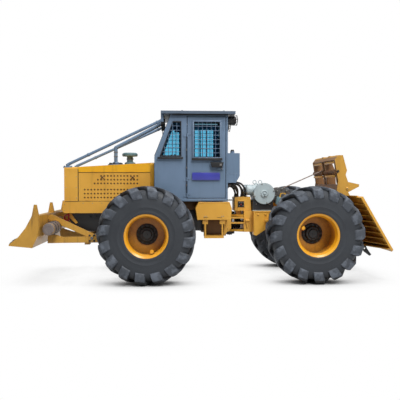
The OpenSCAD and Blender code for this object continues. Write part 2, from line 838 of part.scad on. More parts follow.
// Lift cylinders: L is the distance between their two eyes
lift_dx = lift_tube_x - lift_top_x;
lift_dz = lift_tube_z - lift_top_z;
lift_len = sqrt(lift_dx * lift_dx + lift_dz * lift_dz);
lift_tilt = atan2(-lift_dz, -lift_dx);
lift_barrel = 470;
ram_r = 24;
ram_barrel_r = 45;

// Runs the child's +x axis from the upper eye to the lower one
module along_lift(y)
    translate([lift_top_x, y, lift_top_z])
        rotate([0, 180 - lift_tilt, 0])
            children();

// Barrel from its eye at 0 to its gland at length l
module barrel(l, r) {
    difference() {
        union() {
            rod([0, 0, 0], [60, 0, 0], 24);
            rod([56, 0, 0], [l, 0, 0], r);
            rod([l - 40, 0, 0], [l, 0, 0], r + 8);
            rod([0, -26, 0], [0, 26, 0], 46);
        }
        rod([0, -60, 0], [0, 60, 0], pin_r + pin_gap);
        rod([70, 0, 0], [l - 30, 0, 0], r - 9);
        rod([l - 31, 0, 0], [l + 1, 0, 0], ram_r + seat_gap);
    }
}

// Piston rod with its own eye at length l, in from depth a
module piston_rod(a, l, barrel_r) {
    rod([a, 0, 0], [l - 30, 0, 0], ram_r);
    rod([a, 0, 0], [a + 50, 0, 0], barrel_r - 9 - seat_gap);
    rod([l, -26, 0], [l, 26, 0], 42);
}

module lift_barrels()
    color([0.12, 0.12, 0.13])
        for (side = [-1, 1])
            along_lift(side * lift_y)
                barrel(lift_barrel, ram_barrel_r);

module lift_rods()
    color([0.75, 0.77, 0.80])
        for (side = [-1, 1])
            along_lift(side * lift_y)
                piston_rod(250, lift_len, ram_barrel_r);

// Steering cylinders, from the front frame to the rear frame's lug
steer_len = sqrt(pow(steer_back + steer_lug_x, 2) + pow(steer_lug_y - steer_rest_y, 2));
steer_yaw = atan2(steer_lug_y - steer_rest_y, steer_back + steer_lug_x);
steer_barrel = 460;

module along_steer()
    translate([pivot_x - steer_back, steer_rest_y, steer_z])
        rotate([0, 0, steer_yaw])
            rotate([90, 0, 0])
                children();

module steering_barrel()
    color([0.12, 0.12, 0.13])
        along_steer()
            barrel(steer_barrel, ram_barrel_r);

module steering_rod()
    color([0.75, 0.77, 0.80])
        along_steer()
            piston_rod(240, steer_len, ram_barrel_r);

// ---------- rear frame ----------

rear_wall = pivot_x + 230;
waist_x = pivot_x + 380;
frame_end = rear_x + 740;
rear_rail_z = axle_z + axle_tube_r + 18;
drum_x = rear_x - 400;
drum_z = deck_z + 268;
winch_x = rear_x - 732;
winch_z = deck_z + 310;
arch_x = rear_x + 404;
arch_foot_z = deck_z + 344;
guide_x = arch_x + 45;
guide_z = arch_top_z - 290;
guide_r = 42;

// A flat lug with a rounded nose that turns on a pivot pin
module pivot_lug(z)
    difference() {
        union() {
            flat_plate([
                [pivot_x, -ear_r], [rear_wall + 5, -235], [rear_wall + 5, 235], [pivot_x, ear_r]
            ], [z, z + lug_t]);
            post(pivot_x, 0, ear_r, [z, z + lug_t]);
        }
        post(pivot_x, 0, pivot_pin_d / 2 + pin_gap, [z - 1, z + lug_t + 1]);
    }

module rear_chassis() {
    inner = rear_half - frame_plate;
    color([0.82, 0.61, 0.25]) {
        pivot_lug(lug_low_z);
        pivot_lug(lug_high_z);
        // Narrow front box behind the pivot
        difference() {
            box([rear_wall, rear_wall + 25], [-250, 250], [lug_low_z, deck_z]);
            rod([rear_wall - 1, 0, 880], [rear_wall + 26, 0, 880], 62);
        }
        both_sides() {
            box([rear_wall, waist_x + 25], [225, 250], [lug_low_z, deck_z]);
            for (z = [steer_z - 58, steer_z + 33])
                box([pivot_x + steer_lug_x - 45, rear_wall], [steer_lug_y - 50, steer_lug_y + 55], [z, z + 25]);
        }
        // Wide box with the deck
        both_sides() {
            box([waist_x, waist_x + 25], [225, inner], [lug_low_z - 40, deck_z]);
            side_plate([
                [waist_x, deck_z], [waist_x, lug_low_z - 40], [waist_x + 50, lug_low_z - 56],
                [rear_x - 650, deck_z - 275], [rear_x - 320, rear_rail_z],
                [frame_end, rear_rail_z], [frame_end, deck_z]
            ], [inner, rear_half]);
        }
        box([rear_wall, waist_x], [-250, 250], [deck_z - 15, deck_z]);
        box([waist_x, frame_end], [-rear_half, rear_half], [deck_z - 15, deck_z]);
        box([frame_end - 25, frame_end], [-inner, inner], [rear_rail_z, deck_z]);
        for (x = [rear_x - 340, rear_x + 260])
            box([x, x + 25], [-inner, inner], [rear_rail_z, deck_z]);
        // Tower in front of the winch
        both_sides()
            side_plate([
                [pivot_x + 156, deck_z], [pivot_x + 156, deck_z + 240], [pivot_x + 176, deck_z + 250],
                [pivot_x + 352, deck_z + 250], [pivot_x + 372, deck_z]
            ], [180, 200]);
        box([pivot_x + 176, pivot_x + 352], [-180, 180], [deck_z + 235, deck_z + 250]);
        box([pivot_x + 156, pivot_x + 171], [-180, 180], [deck_z + 120, deck_z + 240]);
        // Pedestal under the arch
        both_sides()
            side_plate([
                [arch_x - 20, deck_z], [arch_x + 40, arch_foot_z - 30], [arch_x + 230, arch_foot_z - 30],
                [arch_x + 230, arch_foot_z - 80], [frame_end - 20, arch_foot_z - 80], [frame_end - 20, deck_z]
            ], [inner - 20, rear_half - 20]);
        box([frame_end - 45, frame_end - 20], [20 - inner, inner - 20], [deck_z, arch_foot_z - 100]);
    }
}

module rear_axle() {
    color([0.16, 0.16, 0.17])
        translate([rear_x, 0, axle_z]) {
            axle_shape();
            both_sides()
                box([-85, 85], [rear_half - 80, rear_half], [0, rear_rail_z - axle_z]);
            rod([-200, 0, 30], [pivot_x + 280 - rear_x, 0, 880 - axle_z], 38);
        }
}

module winch_housing() {
    wall_y = 290;
    color([0.10, 0.11, 0.12]) {
        box([winch_x - 200, winch_x + 166], [-wall_y, wall_y], [deck_z, deck_z + 190]);
        box([winch_x - 150, winch_x + 150], [-wall_y + 40, wall_y - 40], [deck_z + 190, winch_z + 100]);
    }
    color([0.66, 0.71, 0.72]) {
        // Clutch cover, motor and lifting rings
        cross_pin(winch_x, winch_z, winch_r, [-wall_y - 50, -wall_y + 60]);
        cross_pin(winch_x, winch_z, 68, [-wall_y - 66, -wall_y - 49]);
        cross_pin(winch_x, winch_z, winch_r - 20, [wall_y - 60, wall_y + 30]);
        rod([winch_x - 296, -150, winch_z + 62], [winch_x - 100, -150, winch_z + 62], 92);
        rod([winch_x - 296, 130, winch_z + 62], [winch_x - 100, 130, winch_z + 62], 92);
        for (x = [winch_x - 90, winch_x + 40])
            translate([x, 0, winch_z + 142])
                rotate([90, 0, 0])
                    rotate_extrude()
                        translate([36, 0])
                            circle(r = 9);
    }
    // Bearing brackets of the drum shaft
    color([0.84, 0.62, 0.22])
        both_sides()
            difference() {
                side_plate([
                    [drum_x - 130, deck_z], [drum_x - 45, drum_z + 52], [drum_x + 45, drum_z + 52],
                    [drum_x + 130, deck_z]
                ], [wall_y + 20, wall_y + 44]);
                cross_pin(drum_x, drum_z, 40 + pin_gap, [wall_y, wall_y + 60]);
            }
}

module winch_drum() {
    drum_half = 220;
    color([0.45, 0.47, 0.48]) {
        cross_pin(drum_x, drum_z, 40, [-drum_half - 116, drum_half + 116]);
        cross_pin(drum_x, drum_z, 80, [-drum_half, drum_half]);
        for (y = [-drum_half, -8, drum_half - 16])
            cross_pin(drum_x, drum_z, 150, [y, y + 16]);
    }
}

// Each rope leaves the top of the drum and runs over the guide roller
rope_rise = guide_z - drum_z;
rope_run = guide_x - drum_x;
rope_out = 80 + rope_d / 2 + seat_gap;
rope_over = guide_r + rope_d / 2 + seat_gap;
rope_far = sqrt(rope_rise * rope_rise + rope_run * rope_run);
rope_angle = atan2(rope_rise, rope_run) + asin((rope_over - rope_out) / rope_far);
rope_off = [-sin(rope_angle), cos(rope_angle)];

module winch_ropes()
    color([0.42, 0.42, 0.43])
        for (y = [105, 180]) {
            from = [drum_x, y, drum_z] + rope_out * [rope_off[0], 0, rope_off[1]];
            to = [guide_x, y, guide_z] + rope_over * [rope_off[0], 0, rope_off[1]];
            rod(from, to + 70 * unit(to - from), rope_d / 2);
            rod(to + 62 * unit(to - from), to + 150 * unit(to - from), rope_d + 2);
        }

module rope_arch() {
    half = arch_w / 2;
    t = 30;
    color([0.84, 0.63, 0.26]) {
        both_sides()
            difference() {
                side_plate([
                    [arch_x + 44, arch_foot_z], [arch_x + 67, arch_foot_z + 188], [arch_x + 7, arch_top_z - 78],
                    [arch_x + 67, arch_top_z], [arch_x + 146, arch_top_z + 1], [arch_x + 220, arch_top_z - 258],
                    [arch_x + 197, arch_top_z - 334], [arch_x + 239, arch_foot_z + 170],
                    [arch_x + 432, arch_foot_z + 128], [arch_x + 432, arch_foot_z + 91],
                    [arch_x + 244, arch_foot_z - 7], [arch_x + 275, arch_foot_z - 66],
                    [arch_x + 190, arch_foot_z - 66], [arch_x + 130, arch_foot_z - 25]
                ], [half - t, half]);
                cross_pin(guide_x, guide_z, 20 + pin_gap, [half - t - 1, half + 1]);
            }
        // Beams between the side plates
        side_plate([
            [arch_x + 7, arch_top_z - 78], [arch_x + 67, arch_top_z], [arch_x + 146, arch_top_z],
            [arch_x + 146, arch_top_z - 40], [arch_x + 37, arch_top_z - 110]
        ], [t - half, half - t]);
        side_plate([
            [arch_x + 50, arch_foot_z + 10], [arch_x + 62, arch_foot_z + 130], [arch_x + 92, arch_foot_z + 130],
            [arch_x + 205, arch_foot_z + 10], [arch_x + 205, arch_foot_z - 20], [arch_x + 44, arch_foot_z - 20]
        ], [t - half, half - t]);
        // Double post in the middle
        both_sides()
            difference() {
                side_plate([
                    [arch_x + 60, arch_foot_z + 100], [arch_x + 20, arch_top_z - 90],
                    [arch_x + 80, arch_top_z - 60], [arch_x + 140, arch_top_z - 60],
                    [arch_x + 225, arch_top_z - 262], [arch_x + 225, arch_top_z - 334],
                    [arch_x + 235, arch_foot_z + 120], [arch_x + 190, arch_foot_z + 5],
                    [arch_x + 120, arch_foot_z + 5]
                ], [38, 58]);
                cross_pin(guide_x, guide_z, 20 + pin_gap, [30, 70]);
            }
        // Foot that carries the arch on the pedestal
        box([arch_x + 45, arch_x + 225], [-rear_half + 15, rear_half - 15],
            [arch_foot_z - 30, arch_foot_z - 15]);
    }
}

module fairlead_roller() {
    half = arch_w / 2;
    color([0.35, 0.33, 0.31]) {
        cross_pin(guide_x, guide_z, 20, [-half + 2, half - 2]);
        both_sides()
            cross_pin(guide_x, guide_z, guide_r, [58 + run_gap, half - 30 - run_gap]);
    }
}

butt_top_z = deck_z + 249;
butt_foot_z = 499;
rib_count = 8;
rib_pitch = 96.5;
rib_top_z = deck_z + 128;

// Front face of the leaning butt plate at height z
function butt_x(z) = rear_x + rear_reach - 24 - (rear_reach - 808) * (z - butt_foot_z) / (butt_top_z - butt_foot_z);

// A shelf in front of the butt plate, deepest in the middle
module butt_shelf(z, t, edge, depth) {
    half = butt_w / 2 - 20;
    flat_plate(concat(
        [[butt_x(z) + 8, half], [butt_x(z) + 8, -half]],
        [for (j = [-6:6]) [butt_x(z) - edge - depth * (1 - pow(j / 6, 2)), j / 6 * half]]
    ), [z, z + t]);
}

module butt_plate() {
    half = butt_w / 2;
    color([0.84, 0.62, 0.26]) {
        side_plate([
            [butt_x(butt_top_z), butt_top_z], [butt_x(butt_top_z) + 40, butt_top_z + 19],
            [rear_x + rear_reach, butt_foot_z + 31], [butt_x(butt_foot_z), butt_foot_z]
        ], [-half, half]);
        for (i = [0:rib_count - 1]) {
            z = rib_top_z - i * rib_pitch;
            butt_shelf(z, 12, 20, min(200, max(20, butt_x(z) - 35 - frame_end)));
        }
        butt_shelf(butt_foot_z + 40, 14, 40, 230);
        // Top flange on the pedestal, its lip, and beams to the frame's end
        box([butt_x(butt_top_z), butt_x(butt_top_z) + 24], [-760, 760], [butt_top_z - 12, arch_foot_z - 66]);
        flat_plate([
            [arch_x + 235, -rear_half + 20], [arch_x + 235, rear_half - 20],
            [butt_x(butt_top_z) + 12, 760], [butt_x(butt_top_z) + 12, -760]
        ], [arch_foot_z - 80, arch_foot_z - 66]);
        both_sides()
            side_plate([
                [frame_end, deck_z - 10], [butt_x(deck_z) + 10, deck_z - 10],
                [butt_x(rear_rail_z) + 10, rear_rail_z], [frame_end, rear_rail_z]
            ], [280, 310]);
    }
}

module drawbar_hook() {
    x = rear_x + rear_reach - 220;
    top_z = butt_foot_z + 40;
    color([0.13, 0.13, 0.14])
        difference() {
            side_plate([
                [x, top_z], [x + 75, top_z], [x + 115, top_z - 95], [x + 195, top_z - 205],
                [x + 165, top_z - 228], [x + 60, top_z - 150], [x + 5, top_z - 60]
            ], [-22, 22]);
            cross_pin(x + 72, top_z - 92, 18, [-30, 30]);
        }
}

tyre_colour = [0.22, 0.25, 0.29];
rim_colour = [0.92, 0.66, 0.16];
door_colour = [0.42, 0.50, 0.60];
pane_colour = [0.55, 0.75, 0.85, 0.5];

module tyre(x, side)
    color(tyre_colour)
        at_wheel(x, side)
            tyre_shape();

module rim(x, side)
    color(rim_colour)
        at_wheel(x, side)
            rim_shape();

module mirrored_to_left()
    mirror([0, 1, 0])
        children();

module left_door() mirrored_to_left() color(door_colour) door_panel();
module right_door() color(door_colour) door_panel();
module left_door_glass() mirrored_to_left() color(pane_colour) door_pane();
module right_door_glass() color(pane_colour) door_pane();
module left_steering_barrel() mirrored_to_left() steering_barrel();
module left_steering_rod() mirrored_to_left() steering_rod();
module right_steering_barrel() steering_barrel();
module right_steering_rod() steering_rod();
module front_left_tyre() tyre(front_x, -1);
module front_left_rim() rim(front_x, -1);
module front_right_tyre() tyre(front_x, 1);
module front_right_rim() rim(front_x, 1);
module rear_left_tyre() tyre(rear_x, -1);
module rear_left_rim() rim(rear_x, -1);
module rear_right_tyre() tyre(rear_x, 1);
module rear_right_rim() rim(rear_x, 1);

front_chassis();
frame_crossmembers();
pivot_bracket();
side_skirts();
front_axle();
engine_block();
hood_top();
hood_sides();
nose_grille();
cab_shell();
cab_roof();
cab_glass();
operator_seat();
control_console();
guard_pipes();
exhaust_pipe();
pre_cleaner();
hydraulic_tank();
step_boxes();
work_lamps();
hydraulic_hoses();
left_door();
left_door_glass();
right_door();
right_door_glass();
blade();
push_arms();
lift_barrels();
lift_rods();
left_steering_barrel();
left_steering_rod();
right_steering_barrel();
right_steering_rod();
front_left_tyre();
front_left_rim();
front_right_tyre();
front_right_rim();
rear_left_tyre();
rear_left_rim();
rear_right_tyre();
rear_right_rim();
rear_chassis();
rear_axle();
winch_housing();
winch_drum();
winch_ropes();
rope_arch();
fairlead_roller();
butt_plate();
drawbar_hook();
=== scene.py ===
import json
import math

import bmesh
import bpy
from mathutils import Matrix, Vector

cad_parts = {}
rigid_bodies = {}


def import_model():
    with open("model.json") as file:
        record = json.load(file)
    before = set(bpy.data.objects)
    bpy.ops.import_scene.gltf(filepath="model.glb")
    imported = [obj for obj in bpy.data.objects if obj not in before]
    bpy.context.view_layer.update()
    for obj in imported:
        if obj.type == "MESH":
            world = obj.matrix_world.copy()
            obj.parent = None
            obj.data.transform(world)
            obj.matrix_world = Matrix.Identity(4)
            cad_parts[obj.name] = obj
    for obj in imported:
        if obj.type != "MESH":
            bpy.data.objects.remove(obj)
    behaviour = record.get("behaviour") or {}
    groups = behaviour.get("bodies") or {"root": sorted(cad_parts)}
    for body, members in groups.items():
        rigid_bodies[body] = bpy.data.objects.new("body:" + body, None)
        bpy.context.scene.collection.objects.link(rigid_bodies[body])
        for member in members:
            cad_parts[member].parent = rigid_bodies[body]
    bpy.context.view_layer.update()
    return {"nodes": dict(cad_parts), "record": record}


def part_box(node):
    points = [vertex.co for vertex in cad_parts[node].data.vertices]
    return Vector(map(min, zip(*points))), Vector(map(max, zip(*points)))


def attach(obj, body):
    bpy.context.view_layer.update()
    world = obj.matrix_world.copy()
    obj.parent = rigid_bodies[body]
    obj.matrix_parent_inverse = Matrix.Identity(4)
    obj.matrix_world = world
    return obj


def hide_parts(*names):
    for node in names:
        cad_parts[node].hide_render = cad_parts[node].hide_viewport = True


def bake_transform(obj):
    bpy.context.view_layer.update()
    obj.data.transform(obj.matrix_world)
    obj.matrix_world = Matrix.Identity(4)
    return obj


for leftover in list(bpy.data.objects):
    bpy.data.objects.remove(leftover)
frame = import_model()
print("frame loaded,", len(frame["nodes"]), "parts")


def mathBy(operation, swapped=False):  # one operator of Wire, or its reflected form
    return lambda self, other: self.graph.sum(operation, *((other, self) if swapped else (self, other)))


class Wire:  # one socket that can stand in an expression
    def __init__(self, graph, socket):
        self.graph, self.socket = graph, socket

    __add__, __radd__ = mathBy("ADD"), mathBy("ADD", True)
    __sub__, __rsub__ = mathBy("SUBTRACT"), mathBy("SUBTRACT", True)
    __mul__, __rmul__ = mathBy("MULTIPLY"), mathBy("MULTIPLY", True)
    __truediv__ = mathBy("DIVIDE")
    __gt__, __lt__ = mathBy("GREATER_THAN"), mathBy("LESS_THAN")


class Graph:  # a node tree, for materials and for geometry alike
    def __init__(self, tree):
        self.tree = tree

    def add(self, kind, settings=None, inputs=None, output=0):  # with output None it gives the node itself
        node = self.tree.nodes.new(kind)
        for key, value in (settings or {}).items():
            setattr(node, key, value)
        for key, value in (inputs or {}).items():
            self.feed(node.inputs[key], value)
        return node if output is None else Wire(self, node.outputs[output])

    def feed(self, socket, value):
        if isinstance(value, Wire):
            self.tree.links.new(value.socket, socket)
        elif isinstance(value, (tuple, list)) and len(value) == 3 and socket.type == "RGBA":
            socket.default_value = (*value, 1)
        else:
            socket.default_value = value

    def sum(self, operation, first, second=0.0, clamp=False):
        return self.add("ShaderNodeMath", {"operation": operation, "use_clamp": clamp}, {0: first, 1: second})

    def clamp(self, value):
        return self.sum("ADD", value, 0.0, True)

    def step(self, value, low, high):  # smooth 0 to 1 between low and high
        return self.add("ShaderNodeMapRange", {"interpolation_type": "SMOOTHSTEP"},
                        {"Value": value, "From Min": low, "From Max": high})

    def mix(self, factor, first, second):
        node = self.add("ShaderNodeMix", {"data_type": "RGBA"}, output=None)
        for key, value in ((0, factor), (6, first), (7, second)):
            self.feed(node.inputs[key], value)
        return Wire(self, node.outputs[2])

    def vector(self, operation, first, second, output=0):
        return self.add("ShaderNodeVectorMath", {"operation": operation}, {0: first, 1: second}, output)

    def axes(self, vector):
        split = self.add("ShaderNodeSeparateXYZ", None, {0: vector}, None)
        return [Wire(self, split.outputs[i]) for i in range(3)]

    def noise(self, place, scale, detail=4.0, rough=0.55, stretch=(1, 1, 1)):
        if stretch != (1, 1, 1):
            place = self.vector("MULTIPLY", place, stretch)
        return self.add("ShaderNodeTexNoise", None,
                        {"Vector": place, "Scale": scale, "Detail": detail, "Roughness": rough})

    def place(self):
        return self.add("ShaderNodeTexCoord", output="Object")

    def normal(self):
        return self.add("ShaderNodeNewGeometry", output="Normal")

    def rounded(self, reach):  # the normal, as if edges were rounded
        return self.add("ShaderNodeBevel", {"samples": 6}, {"Radius": reach})

    def edge(self, reach):  # 1 along edges
        facing = self.vector("DOT_PRODUCT", self.rounded(reach), self.normal(), "Value")
        return self.step(1.0 - facing, 0.015, 0.16)

    def corner(self, reach):  # 1 in the open, less in corners
        return self.add("ShaderNodeAmbientOcclusion", {"samples": 8}, {"Distance": reach}, "AO")

    def up(self):
        return self.axes(self.normal())[2]

    def bump(self, height, strength, distance, normal):
        return self.add("ShaderNodeBump", None,
                        {"Strength": strength, "Distance": distance, "Height": height, "Normal": normal})

    def show(self, surface):
        self.add("ShaderNodeOutputMaterial", None, {"Surface": surface}, None)

    def shine(self, inputs):
        self.show(self.add("ShaderNodeBsdfPrincipled", None, inputs))


def tone(red, green, blue):  # screen values 0-255 as the linear colour that nodes take
    return tuple((v / 3294.6 if v < 10.3 else ((v / 255 + 0.055) / 1.055) ** 2.4) for v in (red, green, blue))


def newMaterial(name):
    material = bpy.data.materials.new(name)
    material.use_nodes = True
    material.node_tree.nodes.clear()
    return material, Graph(material.node_tree)


rearX = (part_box("rear_left_tyre")[0][0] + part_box("rear_left_tyre")[1][0]) / 2


def winchZones(g, place):  # black gear case, and bearing brackets in the frame's colour
    along, sideways, high = g.axes(place)
    aside = g.sum("ABSOLUTE", sideways)
    return [((high < 1.352) * (aside < 0.2915), tone(34, 35, 38)),
            ((aside > 0.305) * (along > rearX - 0.538), tone(214, 160, 58))]


def archShadeZones(g, place):  # painted shade: brown inside, ochre on the sides and the top
    along, sideways, high = g.axes(place)
    return [((g.sum("ABSOLUTE", sideways) < 0.705) * (high < 2.105), tone(146, 104, 60))]


paintDefaults = {"edge": 0.007, "corner": 0.14, "cloudScale": 1.7, "streak": 0.25, "dust": 0.3, "soil": 0.55,
                 "wearFrom": 0.66, "wear": 0.7, "rough": 0.36, "metal": 0.6, "coat": 0.15, "zones": None}


def paint(name, family, main, shade, **own):
    look = {**paintDefaults, **family, **own}
    material, g = newMaterial(name)
    place = g.place()
    cloud = g.noise(place, look["cloudScale"], 5)
    grain = g.noise(place, 26.0, 6, 0.62)
    runs = g.noise(place, 6.0, 4, 0.6, (2.2, 2.2, 0.22))
    colour = g.mix(g.step(cloud, 0.36, 0.66), tone(*main), tone(*shade))
    for mask, zoneTone in look["zones"](g, place) if look["zones"] else ():
        colour = g.mix(mask, colour, zoneTone)
    colour = g.mix(g.step(runs, 0.52, 0.74) * look["streak"], colour, look["dirt"])
    dusty = g.step(g.up(), 0.55, 0.95) * g.step(grain, 0.35, 0.7) * look["dust"]
    colour = g.mix(dusty, colour, look["dustTone"])
    # painted shade and dirt: darker in corners and recesses, where ambient occlusion finds nearby surfaces
    soil = g.step(1.0 - g.corner(look["corner"]), 0.25, 0.85) * (0.55 + grain * 0.6) * look["soil"]
    colour = g.mix(g.clamp(soil), colour, look["dirt"])
    worn = g.edge(look["edge"]) * g.step(grain + cloud * 0.35, look["wearFrom"], look["wearFrom"] + 0.1)
    colour = g.mix(worn * look["wear"], colour, look["bare"])
    peel = g.noise(place, 240.0, 2)
    bumped = g.bump(peel * 0.25 + grain * 0.5 - worn * 0.5, 0.12, 0.002, g.rounded(look["edge"] * 0.5))
    g.shine({"Base Color": colour, "Roughness": look["rough"] + grain * 0.12 + dusty * 0.25 + soil * 0.2,
             "Metallic": worn * look["metal"], "Normal": bumped, "Coat Weight": look["coat"],
             "Coat Roughness": 0.25})
    return material


metalDefaults = {"edge": 0.005, "corner": 0.14, "stretch": (1, 1, 1), "rust": 0.5, "rough": 0.35,
                 "metal": 0.9,
                 "rustTone": tone(104, 62, 38), "dirt": tone(34, 30, 28)}


def bareMetal(name, main, shade, **own):
    look = {**metalDefaults, **own}
    material, g = newMaterial(name)
    place = g.place()
    cloud = g.noise(place, 5.0, 5)
    grain = g.noise(place, 60.0, 4, 0.6, look["stretch"])
    rust = g.step(cloud + grain * 0.4, 0.72, 0.92) * look["rust"]
    colour = g.mix(grain, tone(*main), tone(*shade))
    colour = g.mix(rust, colour, look["rustTone"])
    # painted shade and dirt in corners, from ambient occlusion
    colour = g.mix(g.step(1.0 - g.corner(look["corner"]), 0.25, 0.85) * 0.6, colour, look["dirt"])
    bumped = g.bump(grain + rust, 0.2, 0.002, g.rounded(look["edge"] * 0.5))
    g.shine({"Base Color": colour, "Roughness": look["rough"] + grain * 0.15 + rust * 0.35,
             "Metallic": g.clamp(look["metal"] - rust), "Normal": bumped})
    return material


skinDefaults = {"edge": 0.004, "grain": 90.0, "dust": 0.3, "dustTone": tone(120, 112, 100), "weave": 0,
                "bump": 0.25, "rough": 0.6, "sheen": 0.0}


def softSkin(name, main, shade, **own):  # rubber, plastic and seat covers
    look = {**skinDefaults, **own}
    material, g = newMaterial(name)
    place = g.place()
    cloud = g.noise(place, 3.0, 5)
    grain = g.noise(place, look["grain"], 5, 0.6)
    colour = g.mix(cloud, tone(*main), tone(*shade))
    dusty = g.clamp(g.step(g.up(), 0.1, 0.9) * g.step(grain + cloud, 0.85, 1.2) * look["dust"])
    colour = g.mix(dusty, colour, look["dustTone"])
    height = grain * 0.6
    if look["weave"]:
        along, sideways, high = g.axes(place)
        threads = g.sum("SINE", along * look["weave"]) * g.sum("SINE", (sideways + high) * look["weave"])
        height = height + threads * 0.5
    bumped = g.bump(height, look["bump"], 0.0015, g.rounded(look["edge"] * 0.5))
    g.shine({"Base Color": colour, "Roughness": look["rough"] + grain * 0.15, "Normal": bumped,
             "Sheen Weight": look["sheen"]})
    return material


def tyreRubber(name, look):
    material, g = newMaterial(name)
    place = g.place()
    edge = g.edge(look["edge"])
    lug = g.add("ShaderNodeAttribute", {"attribute_name": "lug"}, output="Fac")
    patch = g.step(g.noise(place, 9.0, 5, 0.6), 0.46, 0.62)
    cloud = g.noise(place, 2.6, 6, 0.6)
    grain = g.noise(place, 34.0, 6, 0.65)
    mud = g.step(cloud + grain * 0.3, 0.52, 0.82)
    colour = g.mix(cloud, look["tone"], look["shade"])
    colour = g.mix(lug * (0.18 + mud * 0.3 + patch * 0.5) * look["lugDust"], colour, look["lugTone"])
    colour = g.mix(mud * (1.0 - lug) * look["sideDust"], colour, look["sideTone"])
    colour = g.mix(edge * grain * 0.5 * lug, colour, look["scuff"])
    # painted shade: near-black in the gaps between the lugs, from ambient occlusion
    colour = g.mix(g.step(1.0 - g.corner(look["corner"]), 0.22, 0.62) * 0.9, colour, look["deep"])
    bumped = g.bump(grain * 0.7 + mud * 0.4, 0.35, 0.004, g.rounded(look["edge"] * 0.5))
    g.shine({"Base Color": colour, "Roughness": 0.52 + mud * 0.3, "Normal": bumped})
    return material


def glassPane(name, main, film, tint, body):
    material, g = newMaterial(name)
    dusty = g.step(g.noise(g.place(), 4.0, 6, 0.65), 0.5, 0.85)
    clear = g.add("ShaderNodeBsdfTransparent", None, {"Color": tint})
    face = g.add("ShaderNodeBsdfPrincipled", None, {"Base Color": g.mix(dusty, tone(*main), tone(*film)),
                                                    "Roughness": 0.05 + dusty * 0.15, "IOR": 1.45})
    g.show(g.add("ShaderNodeMixShader", None, {0: body + dusty * 0.06, 1: clear, 2: face}))
    return material


